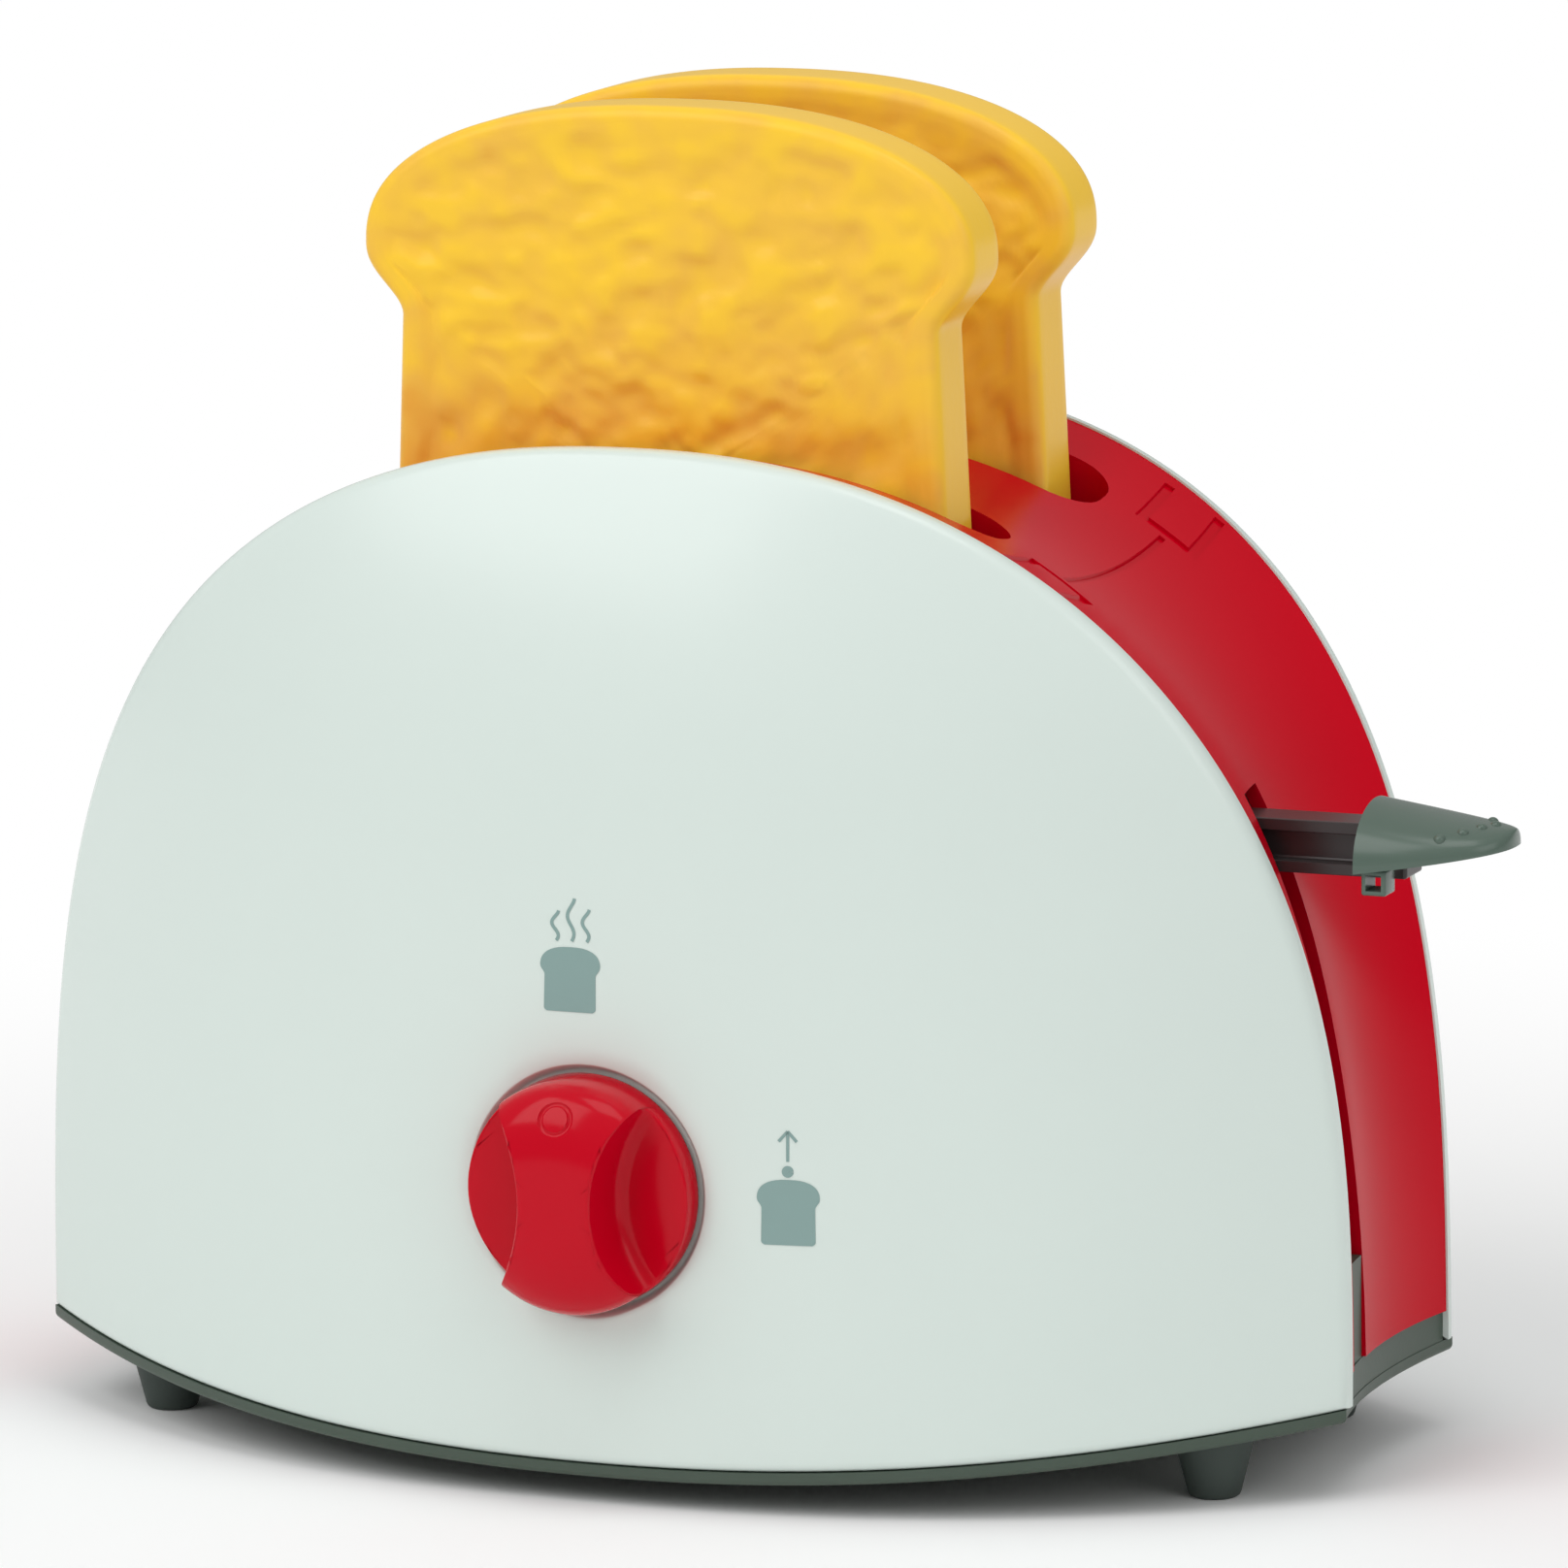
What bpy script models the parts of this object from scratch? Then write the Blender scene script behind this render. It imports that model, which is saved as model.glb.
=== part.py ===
# Toy toaster with two slices, a sprung lever and a turning knob.
# Metres, +Z up. The body is modelled about its own middle, with the ground at zero,
# and one empty then moves it so that the middle of the whole outline stands at the origin.

import math

import bmesh
import bpy
from mathutils import Matrix, Vector

# Body outline: a superellipse arch on a straight foot line
BODY_HALF_LENGTH = 0.1060
ARCH_HEIGHT = 0.1415
SKIRT_Z = 0.0143
ARCH_POWER_X = 2.28
ARCH_POWER_Z = 2.81
ARCH_STEPS = 36
FOOT_LINE_STEPS = 12

# Depth of the bowed faces, measured from the middle plane
END_HALF_DEPTH = 0.0250
BOW_DEPTH = 0.0380
BOW_POWER = 2.4
TOP_TUCK = 0.0165
TOP_TUCK_POWER = 3.9
FACE_LEAN = 0.0025
EDGE_SAG = 0.0080

# Gaps
GAP = 0.0003
RUN_GAP = 0.0004
OVERRUN = 0.0010

# Shells
SHELL_WALL = 0.0022
SHELL_CORNER = 0.0024
SHELL_RIM_DEPTH = 0.0052
SHELL_RING_SHARES = (0.22, 0.45, 0.68, 0.87)
CORNER_STEPS = 2
SHELL_CENTRE_Z = 0.0560

# Band between the shells
BAND_WALL = 0.0022
BAND_VALLEY = 0.0020
BAND_FOOT = 0.0045
BAND_RIM_GAP = 0.0006
BAND_STRIPS = 8
GROOVE_WIDTH = 0.0010
GROOVE_DEPTH = 0.0008

# Toast slots
SLICE_PITCH = 0.0422
SLOT_END_ROOM = 0.0025
SLOT_WIDTH = 0.0165
SLOT_COLLAR_WALL = 0.0015
SLOT_COLLAR_FOOT = 0.1065
SLOT_CORNER = 0.0070
SLOT_CORNER_STEPS = 4

# Moulded clip marks at the shoulders of the band
CLIP_MARK_FROM_END = 0.0450
CLIP_MARK_LENGTH = 0.0120
CLIP_MARK_WIDTH = 0.0064
CLIP_MARK_GROOVE = 0.0016
CLIP_MARK_EDGE = 0.0035

# Lever slot in the band's end
LEVER_Y = -0.0144
LEVER_SLOT_WIDTH = 0.0094
LEVER_SLOT_TOP = 0.0905

# Base tray
LIP_HEIGHT = 0.0020
LIP_INSET = 0.0004
LIP_ROUND = 0.0012
TRAY_UNDERSIDE = -0.0010
TRAY_FLOOR = 0.0022
TRAY_WALL = 0.0020
TRAY_WALL_INSET = 0.0076
TRAY_END_DIP = 0.0038
TRAY_END_BLOCK = 0.0130
UPSTAND_TOP = 0.0207
UPSTAND_WALL = 0.0030
FOOT_FROM_END = 0.0205
FOOT_Y = 0.0262
FOOT_TOP_R = 0.0062
FOOT_BOTTOM_R = 0.0040
FOOT_SEAT = 0.0046
FOOT_SPIGOT_R = 0.0024
FOOT_SPIGOT_RISE = 0.0034
FOOT_SIDES = 16

# Screws that hold the band on the base
BASE_SCREW_FROM_END = 0.0180
BASE_SCREW_YS = (-0.0030, 0.0150)
BOSS_R = 0.0036
BOSS_HOLE_R = 0.0017
BAND_BOSS_TOP = 0.0180
BAND_BOSS_HOLE = 0.0100
SCREW_R = 0.0014
SCREW_HEAD_R = 0.0028
SCREW_HEAD = 0.0016
BASE_SCREW_LENGTH = 0.0110
PLATE_SCREW_LENGTH = 0.0058
LEVER_SCREW_LENGTH = 0.0106
HEAD_RECESS_R = 0.0031
BASE_RECESS_TOP = 0.0014
BOSS_SIDES = 12

# Slices of toast
SLICE_THICKNESS = 0.0129
SLICE_FOOT = 0.0923
SLICE_CORNER = 0.0050
SLICE_WAIST_HALF = 0.0431
SLICE_WAIST_Z = 0.1578
SLICE_FLARE_SHARE = 0.04
SLICE_LOBE_HALF = 0.0490
SLICE_LOBE_Z = 0.1686
SLICE_TOP = 0.1905
SLICE_CROWN_POWER = 2.25
SLICE_EDGE_ROUND = 0.0016
SLICE_CROWN_STEPS = 14
SLICE_LOBE_STEPS = 4

# Guide rod and lift spring
ROD_X = BODY_HALF_LENGTH - 0.0320
ROD_Y = 0.0
ROD_R = 0.0020
ROD_FOOT = 0.0004
ROD_TOP = 0.1010
ROD_BOSS_R = 0.0050
ROD_BOSS_TOP = 0.0060
ROD_CAP_FOOT = 0.0960
SPRING_R = 0.0040
SPRING_WIRE_R = 0.00045
SPRING_TURNS = 11
SPRING_POINTS = 9
CLOSED_TURN_PITCH_SHARE = 1.70

# Carriage
CRADLE_FLOOR = 0.0900
CRADLE_PLATE = 0.0020
CRADLE_WALL = 0.0012
CRADLE_RISE = 0.0100
CRADLE_WINDOW_XS = (-0.0350, -0.0175, 0.0, 0.0380)
CRADLE_WINDOW = 0.0090
CRADLE_WINDOW_SILL = 0.0040
CRADLE_WINDOW_HEAD = 0.0080
CRADLE_SIDE_GAP = 0.0006
CRADLE_END_GAP = 0.0008
BRIDGE_X = 0.0320
BRIDGE_WIDTH = 0.0080
SPINE_WIDTH = 0.0060
SPINE_RIB = 0.0060
SPINE_RIB_WIDTH = 0.0016
SLIDER_R = 0.0060
SLIDER_FOOT = 0.0790
SLIDER_TOP = 0.0932
FORK_X = 0.0460 - BODY_HALF_LENGTH
FORK_LENGTH = 0.0120
FORK_FINGER = 0.0018
GUIDE_RIB_WIDTH = 0.0070
GUIDE_RIB_WALL = 0.0026
GUIDE_RIB_TOP = 0.1030
SEAT_LENGTH = 0.0130
SEAT_PLATE = 0.0023
SEAT_BOSS = 0.0040
SEAT_WEB_LENGTH = 0.0080

# Lever arm and handle
ARM_TOP = 0.0870
ARM_HEIGHT = 0.0080
ARM_WIDTH = 0.0075
ARM_FLANGE = 0.0018
ARM_WEB = 0.0034
ARM_ROOT_X = ROD_X - SLIDER_R
ARM_END_X = BODY_HALF_LENGTH + 0.0070
HANDLE_INNER_X = BODY_HALF_LENGTH + 0.0015
HANDLE_TIP_X = HANDLE_INNER_X + 0.0215
HANDLE_HALF_WIDTH = 0.0108
HANDLE_Y = -0.0150
HANDLE_CREST_Z = 0.0905
HANDLE_CREST_DROP = 0.0035
HANDLE_EDGE_Z = 0.0808
HANDLE_EDGE_RISE = 0.0036
HANDLE_PLAN_POWER = 2.5
HANDLE_ARCH_POWER = 2.4
HANDLE_WALL = 0.0016
HANDLE_SECTION_SHARES = (0.0, 0.25, 0.5, 0.7, 0.85, 0.97)
HANDLE_ARCH_STEPS = 12
CHEEK_WALL = 0.0012
CHEEK_LENGTH = 0.0070
EYELET_SIZE = 0.0038
EYELET_WALL = 0.0007
EYELET_LENGTH = 0.0046
EYELET_X = HANDLE_INNER_X + 0.0029
EYELET_Z = 0.0795
EYELET_EDGE = 0.0008
HANDLE_RIB_WALL = 0.0012
HANDLE_RIB_SHARES = (0.40, 0.70)
HANDLE_RIB_WIDTH = 0.0070
GRIP_BUMPS = ((0.57, -0.80), (0.70, -0.62), (0.79, -0.34), (0.85, 0.0), (0.79, 0.34))
GRIP_BUMP_R = 0.0008
GRIP_BUMP_RISE = 0.0004
GRIP_BUMP_SIDES = 8
ARM_POCKET_FROM_X = ARM_ROOT_X + 0.0150
ARM_POCKET_TO_X = ARM_END_X - 0.0080
ARM_EDGE_ROUND = 0.0004

# Knob
KNOB_Z = 0.0335
KNOB_R = 0.0176
KNOB_FRONT_Y = 0.0752
KNOB_EDGE_Y = 0.0680
KNOB_CROWN_POWER = 2.6
KNOB_CROWN_SHARES = (0.30, 0.55, 0.75, 0.88, 0.96, 1.0)
KNOB_HOLLOW_Y = 0.0662
KNOB_RIM_Y = 0.0674
KNOB_WAIST_HALF = 0.0058
KNOB_HOLLOW_R = 0.0220
KNOB_HOLLOW_ROUND = 0.0010
KNOB_EDGE_ROUND = 0.0003
KNOB_SOCKET_Y = 0.0725
KNOB_SIDES = 36
MARKER_RISE = 0.0130
MARKER_R = 0.0028
MARKER_INNER_R = 0.0019
MARKER_DEPTH = 0.0004
DISH_R = 0.0206
DISH_FLOOR_R = 0.0188
DISH_FLOOR_DEPTH = 0.0022
DISH_BACK_WALL = 0.0022
DISH_BACK_MARGIN = 0.0022
KNOB_GAP = 0.0005

# Mechanism plate, spindle and cam
PLATE_Y = -0.0370
PLATE_WALL = 0.0020
PLATE_LEFT = -0.0220
PLATE_RIGHT = 0.0460
PLATE_FOOT = 0.0040
PLATE_TOP = 0.0520
PLATE_CHAMFER = 0.0100
PLATE_FLANGE_DEPTH = 0.0100
PLATE_FLANGE_WALL = 0.0020
PLATE_SCREW_XS = (-0.0140, 0.0380)
SPINDLE_R = 0.0030
BEARING_R = 0.0060
BEARING_FRONT = 0.0050
CAM_Y = -0.0320
CAM_WIDTH = 0.0030
CAM_LOW_R = 0.0045
CAM_STEPS = 10
CLIP_WIDTH = 0.0008
CLIP_R = 0.0052
CLIP_GROOVE = 0.0006
CLIP_MOUTH = math.radians(70.0)
CLIP_STEPS = 18

# Latch
LATCH_X = 0.0300
LATCH_Z = 0.0240
LATCH_WIDTH = 0.0028
LATCH_HUB_R = 0.0046
LATCH_PIN_R = 0.0020
LATCH_PIN_HEAD_R = 0.0034
LATCH_PIN_HEAD = 0.0012
LATCH_SWING = math.radians(11.0)
LATCH_PLAY = 0.0004
LATCH_PAD_R = 0.0014
LATCH_PAD_GAP = 0.0005
LATCH_TAIL_LOW_TURN = math.radians(-105.0)
LATCH_TAIL_HIGH_TURN = math.radians(165.0)
LATCH_HUB_STEPS = 12
LATCH_PAD_STEPS = 8
LATCH_ARM_LEFT = 0.0270
LATCH_ARM_RIGHT = 0.0306
LATCH_NOSE = 0.0032
LATCH_BOSS_R = 0.0042
LATCH_BOSS = 0.0022
CARRIAGE_TRAVEL = 0.0550
CATCH_X = 0.0235
CATCH_R = 0.0015
CATCH_TOP = 0.0990
CATCH_REACH = 0.0046
CATCH_BOSS_R = 0.0024
CATCH_BOSS = 0.0009
CATCH_SIDES = 12
LATCH_SPRING_X = 0.0140
LATCH_SPRING_R = 0.0022
LATCH_SPRING_WIRE_R = 0.00035
LATCH_SPRING_TURNS = 6
LATCH_SPRING_FOOT = 0.0030
LATCH_POST_R = 0.0036

# Colours, roughness and metallic share of each material
SHELL_WHITE = ((0.64, 0.72, 0.68), 0.30, 0.0)
BAND_RED = ((0.43, 0.003, 0.008), 0.28, 0.0)
KNOB_RED = ((0.72, 0.003, 0.012), 0.25, 0.0)
BASE_GREY = ((0.085, 0.105, 0.085), 0.45, 0.0)
FOOT_GREY = ((0.045, 0.055, 0.048), 0.60, 0.0)
LEVER_GREY = ((0.13, 0.17, 0.15), 0.38, 0.0)
ARM_GREY = ((0.045, 0.045, 0.042), 0.45, 0.0)
TOAST_YELLOW = ((0.87, 0.55, 0.09), 0.40, 0.0)
INNER_NATURAL = ((0.60, 0.60, 0.56), 0.50, 0.0)
LATCH_GREY = ((0.30, 0.32, 0.31), 0.45, 0.0)
STEEL = ((0.62, 0.62, 0.62), 0.30, 1.0)

FULL_TURN = 2.0 * math.pi
HALF_TURN = math.pi
QUARTER_TURN = 0.5 * math.pi
WELD = OVERRUN / 100.0


# Scene set-up

def clear_scene():
    for old in list(bpy.data.objects):
        bpy.data.objects.remove(old, do_unlink=True)


def new_collection(name):
    group = bpy.data.collections.new(name)
    bpy.context.scene.collection.children.link(group)
    return group


def material(name, values):
    colour, roughness, metallic = values
    made = bpy.data.materials.new(name)
    made.use_nodes = True
    shader = made.node_tree.nodes["Principled BSDF"]
    shader.inputs["Base Color"].default_value = (*colour, 1.0)
    shader.inputs["Roughness"].default_value = roughness
    shader.inputs["Metallic"].default_value = metallic
    return made


class Bench:
    """The two collections, the root empty and the placing of pieces."""

    def __init__(self):
        self.parts = new_collection("toy_toaster")
        self.tools = new_collection("cutters")
        self.root = bpy.data.objects.new("toaster_root", None)
        self.root.location = (frame_shift_x(), frame_shift_y(), 0.0)
        self.parts.objects.link(self.root)

    def piece(self, name, mesh, look, pivot=None):
        """A piece keeps its mesh in the body's own place, also where it hangs on a pivot."""
        made = bpy.data.objects.new(name, mesh)
        mesh.materials.append(material(name, look))
        self.parts.objects.link(made)
        made.parent = pivot or self.root
        if pivot is not None:
            made.location = -pivot.location
        return made

    def tool(self, name, mesh):
        made = bpy.data.objects.new(name, mesh)
        made.hide_render = True
        made.display_type = "WIRE"
        self.tools.objects.link(made)
        made.parent = self.root
        return made

    def batch(self, name):
        """Collection of the tools that one step takes together."""
        group = bpy.data.collections.new(name)
        self.tools.children.link(group)
        return group

    def pivot(self, name, place):
        made = bpy.data.objects.new(name, None)
        made.location = place
        self.parts.objects.link(made)
        made.parent = self.root
        return made


def boolean(bench, target, tool, operation):
    """Puts the tool into the target's step of that kind, which takes all of its tools at once."""
    label = target.name + "_" + operation.lower()
    step = target.modifiers.get(label)
    if step is None:
        step = target.modifiers.new(label, "BOOLEAN")
        step.operation = operation
        step.solver = "EXACT"
        step.operand_type = "COLLECTION"
        step.collection = bench.batch(label)
    step.collection.objects.link(tool)
    bench.tools.objects.unlink(tool)


def cut(bench, target, tool):
    boolean(bench, target, tool, "DIFFERENCE")


def join(bench, target, tool):
    boolean(bench, target, tool, "UNION")


def keep_common(bench, target, name, mesh):
    """Trims the target to what lies inside a mesh of its own."""
    boolean(bench, target, bench.tool(name, mesh), "INTERSECT")


def join_box(bench, target, name, low, high):
    join(bench, target, bench.tool(name, box(name, low, high)))


def cut_box(bench, target, name, low, high):
    cut(bench, target, bench.tool(name, box(name, low, high)))


def solidify(target, thickness):
    step = target.modifiers.new("wall", "SOLIDIFY")
    step.thickness = thickness
    step.offset = -1.0
    step.use_even_offset = True


def round_edges(target, width, angle=math.radians(50.0), segments=2):
    step = target.modifiers.new("rounding", "BEVEL")
    step.width = width
    step.segments = segments
    step.limit_method = "ANGLE"
    step.angle_limit = angle


def smooth(mesh, angle=math.radians(35.0)):
    mesh.shade_smooth()
    mesh.set_sharp_from_angle(angle=angle)


# Shape helpers

def mesh_from(bm, name):
    mesh = bpy.data.meshes.new(name)
    bm.to_mesh(mesh)
    bm.free()
    return mesh


def loft(name, loops, closed_loops=True, first_cap=None, last_cap=None, inside=None):
    """Skin through loops of equally many points. A cap is a point, or True for a flat face.
    An open skin is turned so that it faces away from the point inside."""
    bm = bmesh.new()
    rows = [[bm.verts.new(point) for point in loop] for loop in loops]
    count = len(rows[0])
    spans = count if closed_loops else count - 1
    for low, high in zip(rows, rows[1:]):
        for i in range(spans):
            j = (i + 1) % count
            bm.faces.new((low[i], low[j], high[j], high[i]))
    for row, cap in ((rows[0], first_cap), (rows[-1], last_cap)):
        if cap is True:
            bm.faces.new(row)
        elif cap is not None:
            tip = bm.verts.new(cap)
            for i in range(spans):
                bm.faces.new((row[i], row[(i + 1) % count], tip))
    bmesh.ops.triangulate(bm, faces=[face for face in bm.faces if len(face.verts) == 4])
    bmesh.ops.recalc_face_normals(bm, faces=bm.faces)
    if inside is not None:
        bm.normal_update()
        away = sum(face.normal.dot(face.calc_center_median() - Vector(inside)) * face.calc_area()
                   for face in bm.faces)
        if away < 0.0:
            bmesh.ops.reverse_faces(bm, faces=bm.faces)
    return mesh_from(bm, name)


def box(name, low, high):
    bm = bmesh.new()
    bmesh.ops.create_cube(bm, size=1.0)
    middle = [(a + b) / 2.0 for a, b in zip(low, high)]
    size = [b - a for a, b in zip(low, high)]
    bmesh.ops.scale(bm, vec=size, verts=bm.verts)
    bmesh.ops.translate(bm, vec=middle, verts=bm.verts)
    return mesh_from(bm, name)


def turned(name, stations, sides):
    """Round solid about the Z axis: a profile of (z, radius), turned by a Screw modifier."""
    profile = bpy.data.meshes.new(name)
    profile.from_pydata([(radius, 0.0, z) for z, radius in stations],
                        [(i, i + 1) for i in range(len(stations) - 1)], [])
    holder = bpy.data.objects.new(name, profile)
    bpy.context.scene.collection.objects.link(holder)
    step = holder.modifiers.new("turning", "SCREW")
    step.steps = sides
    step.render_steps = sides
    step.use_merge_vertices = True
    step.merge_threshold = WELD
    bm = bmesh.new()
    bm.from_mesh(taken_as_mesh(holder))
    bmesh.ops.holes_fill(bm, edges=bm.edges)
    bmesh.ops.recalc_face_normals(bm, faces=bm.faces)
    return mesh_from(bm, name)


def taken_as_mesh(holder):
    """The mesh that a helper object's curve or modifiers make. The helper goes."""
    shape = holder.evaluated_get(bpy.context.evaluated_depsgraph_get())
    mesh = bpy.data.meshes.new_from_object(shape)
    bpy.data.objects.remove(holder, do_unlink=True)
    return mesh


def turned_y(name, x, z, stations, sides):
    """Round piece about a line along Y, with stations of (y, radius)."""
    mesh = turned(name, stations, sides)
    turn = Matrix.Rotation(-QUARTER_TURN, 4, "X")
    mesh.transform(Matrix.Translation((x, 0.0, z)) @ turn)
    return mesh


def turned_z(name, x, y, stations, sides):
    """Round piece about a line along Z, with stations of (z, radius)."""
    mesh = turned(name, stations, sides)
    mesh.transform(Matrix.Translation((x, y, 0.0)))
    return mesh


def flat_solid(name, outline, thickness):
    """Closed outline as a filled curve, with its thickness even about the zero plane."""
    curve = bpy.data.curves.new(name, "CURVE")
    curve.dimensions = "2D"
    curve.fill_mode = "BOTH"
    curve.extrude = thickness / 2.0
    spline = curve.splines.new("POLY")
    spline.points.add(len(outline) - 1)
    for place, (a, b) in zip(spline.points, outline):
        place.co = (a, b, 0.0, 1.0)
    spline.use_cyclic_u = True
    return solid_from_curve(curve, name)


def prism_y(name, outline, y0, y1):
    """Flat outline in X and Z, reaching from y0 to y1."""
    mesh = flat_solid(name, outline, y1 - y0)
    turn = Matrix.Rotation(QUARTER_TURN, 4, "X")
    mesh.transform(Matrix.Translation((0.0, (y0 + y1) / 2.0, 0.0)) @ turn)
    return mesh


def prism_z(name, outline, z0, z1):
    """Flat outline in X and Y, reaching from z0 to z1."""
    mesh = flat_solid(name, outline, z1 - z0)
    mesh.transform(Matrix.Translation((0.0, 0.0, (z0 + z1) / 2.0)))
    return mesh


def solid_from_curve(curve, name):
    holder = bpy.data.objects.new(name, curve)
    bpy.context.scene.collection.objects.link(holder)
    mesh = taken_as_mesh(holder)
    bm = bmesh.new()
    bm.from_mesh(mesh)
    bmesh.ops.remove_doubles(bm, verts=bm.verts, dist=WELD)
    bmesh.ops.dissolve_limit(bm, angle_limit=math.radians(0.5), verts=bm.verts, edges=bm.edges)
    bmesh.ops.recalc_face_normals(bm, faces=bm.faces)
    bm.to_mesh(mesh)
    bm.free()
    mesh.name = name
    return mesh


def arc(centre_x, centre_z, radius, start, end, steps):
    return [(centre_x + radius * math.cos(start + (end - start) * i / steps),
             centre_z + radius * math.sin(start + (end - start) * i / steps))
            for i in range(steps + 1)]


def rounded_slot(half_length, half_width, corner, steps):
    """Outline of a slot with rounded ends, about its own middle."""
    points = []
    for side_x, side_y, start in ((1, 1, 0.0), (-1, 1, 1.0), (-1, -1, 2.0), (1, -1, 3.0)):
        points += arc(side_x * (half_length - corner), side_y * (half_width - corner), corner,
                      start * QUARTER_TURN, (start + 1.0) * QUARTER_TURN, steps)
    return points


# The body's own surface

def arch(angle, inset=0.0):
    """Point of the body's arch. Angle 0 is the +X foot, and half a turn the other."""
    c, s = math.cos(angle), math.sin(angle)
    x = (BODY_HALF_LENGTH - inset) * math.copysign(abs(c) ** (2.0 / ARCH_POWER_X), c)
    z = (ARCH_HEIGHT - inset) * max(s, 0.0) ** (2.0 / ARCH_POWER_Z)
    return x, z


def arch_height(x, inset):
    """Height of the arch over the place x."""
    share = min(abs(x) / (BODY_HALF_LENGTH - inset), 1.0)
    return (ARCH_HEIGHT - inset) * (1.0 - share ** ARCH_POWER_X) ** (1.0 / ARCH_POWER_Z)


def face_depth(x, z):
    """Distance of a shell's outer face from the middle plane."""
    across = min(abs(x) / BODY_HALF_LENGTH, 1.0)
    up = min(max(z, 0.0) / ARCH_HEIGHT, 1.0)
    return (END_HALF_DEPTH + BOW_DEPTH * (1.0 - across ** BOW_POWER)
            - TOP_TUCK * up ** TOP_TUCK_POWER - FACE_LEAN * up)


def edge_sag(x):
    """How far the body's lower edge dips at the place x."""
    return EDGE_SAG * (1.0 - min(abs(x) / BODY_HALF_LENGTH, 1.0) ** 2)


def frame_shift_x():
    return -(HANDLE_TIP_X - BODY_HALF_LENGTH) / 2.0


def frame_shift_y():
    return (KNOB_FRONT_Y - END_HALF_DEPTH - BOW_DEPTH) / 2.0


def base_screw_x():
    return BODY_HALF_LENGTH - BASE_SCREW_FROM_END


def foot_x():
    return BODY_HALF_LENGTH - FOOT_FROM_END


def up(z):
    """Height above the ground of a height above the body's foot line."""
    return SKIRT_Z + z


def band_recess(across):
    """How far the band lies below the shells' rims, from 0 at its middle to 1 at its edge."""
    return SHELL_WALL + BAND_RIM_GAP + BAND_VALLEY * (1.0 - across * across)


def band_foot_angle(inset):
    return math.asin((BAND_FOOT / (ARCH_HEIGHT - inset)) ** (ARCH_POWER_Z / 2.0))


def band_rows(extra_inset=0.0, foot=None):
    """Rows of points along the arch, one row for each place across the band."""
    rows = []
    for k in range(BAND_STRIPS + 1):
        across = -1.0 + 2.0 * k / BAND_STRIPS
        inset = band_recess(across) + extra_inset
        first = band_foot_angle(inset)
        row = []
        for i in range(ARCH_STEPS + 1):
            angle = min(max(HALF_TURN * i / ARCH_STEPS, first), HALF_TURN - first)
            x, z = arch(angle, inset)
            rim_x, rim_z = arch(angle)
            y = across * (face_depth(rim_x, rim_z) - SHELL_RIM_DEPTH - GAP)
            row.append(Vector((x, y, up(z))))
        if foot is not None:
            row.append(Vector((row[-1].x, row[-1].y, foot)))
            row.insert(0, Vector((row[0].x, row[0].y, foot)))
        rows.append(row)
    return rows


def band_envelope(name, extra_inset, foot):
    """Solid under the band's surface, for trimming what must follow it."""
    return loft(name, band_rows(extra_inset, foot), first_cap=True, last_cap=True)


# Shells

def shell_outline(inset):
    """Loop of (x, z): over the arch and back along the dipping foot line."""
    points = [arch(HALF_TURN * i / ARCH_STEPS, inset) for i in range(ARCH_STEPS + 1)]
    points = [(x, z + (inset - edge_sag(x) if z <= 0.0 else 0.0)) for x, z in points]
    left, right = points[-1][0], points[0][0]
    for i in range(1, FOOT_LINE_STEPS):
        x = left + (right - left) * i / FOOT_LINE_STEPS
        points.append((x, inset - edge_sag(x)))
    return points


def shell_mesh(name, side):
    """Bowed face with a rounded corner and a rim that turns in towards the middle plane."""
    def ring(outline, share, back):
        points = []
        for x, z in outline:
            px, pz = x * share, SHELL_CENTRE_Z + (z - SHELL_CENTRE_Z) * share
            points.append(Vector((px, side * (face_depth(px, pz) - back), up(pz))))
        return points

    loops = []
    inner = shell_outline(SHELL_CORNER)
    for share in SHELL_RING_SHARES:
        loops.append(ring(inner, share, 0.0))
    for i in range(CORNER_STEPS + 1):
        turn = QUARTER_TURN * i / CORNER_STEPS
        outline = shell_outline(SHELL_CORNER * (1.0 - math.sin(turn)))
        loops.append(ring(outline, 1.0, SHELL_CORNER * (1.0 - math.cos(turn))))
    loops.append(ring(shell_outline(0.0), 1.0, SHELL_RIM_DEPTH))
    tip = (0.0, side * face_depth(0.0, SHELL_CENTRE_Z), up(SHELL_CENTRE_Z))
    mesh = loft(name, loops, first_cap=tip, inside=(0.0, 0.0, up(SHELL_CENTRE_Z)))
    smooth(mesh)
    return mesh


def knob_face():
    """Where the front shell's face stands behind the knob."""
    return face_depth(0.0, KNOB_Z)


def dish_floor():
    return knob_face() - DISH_FLOOR_DEPTH


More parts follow.
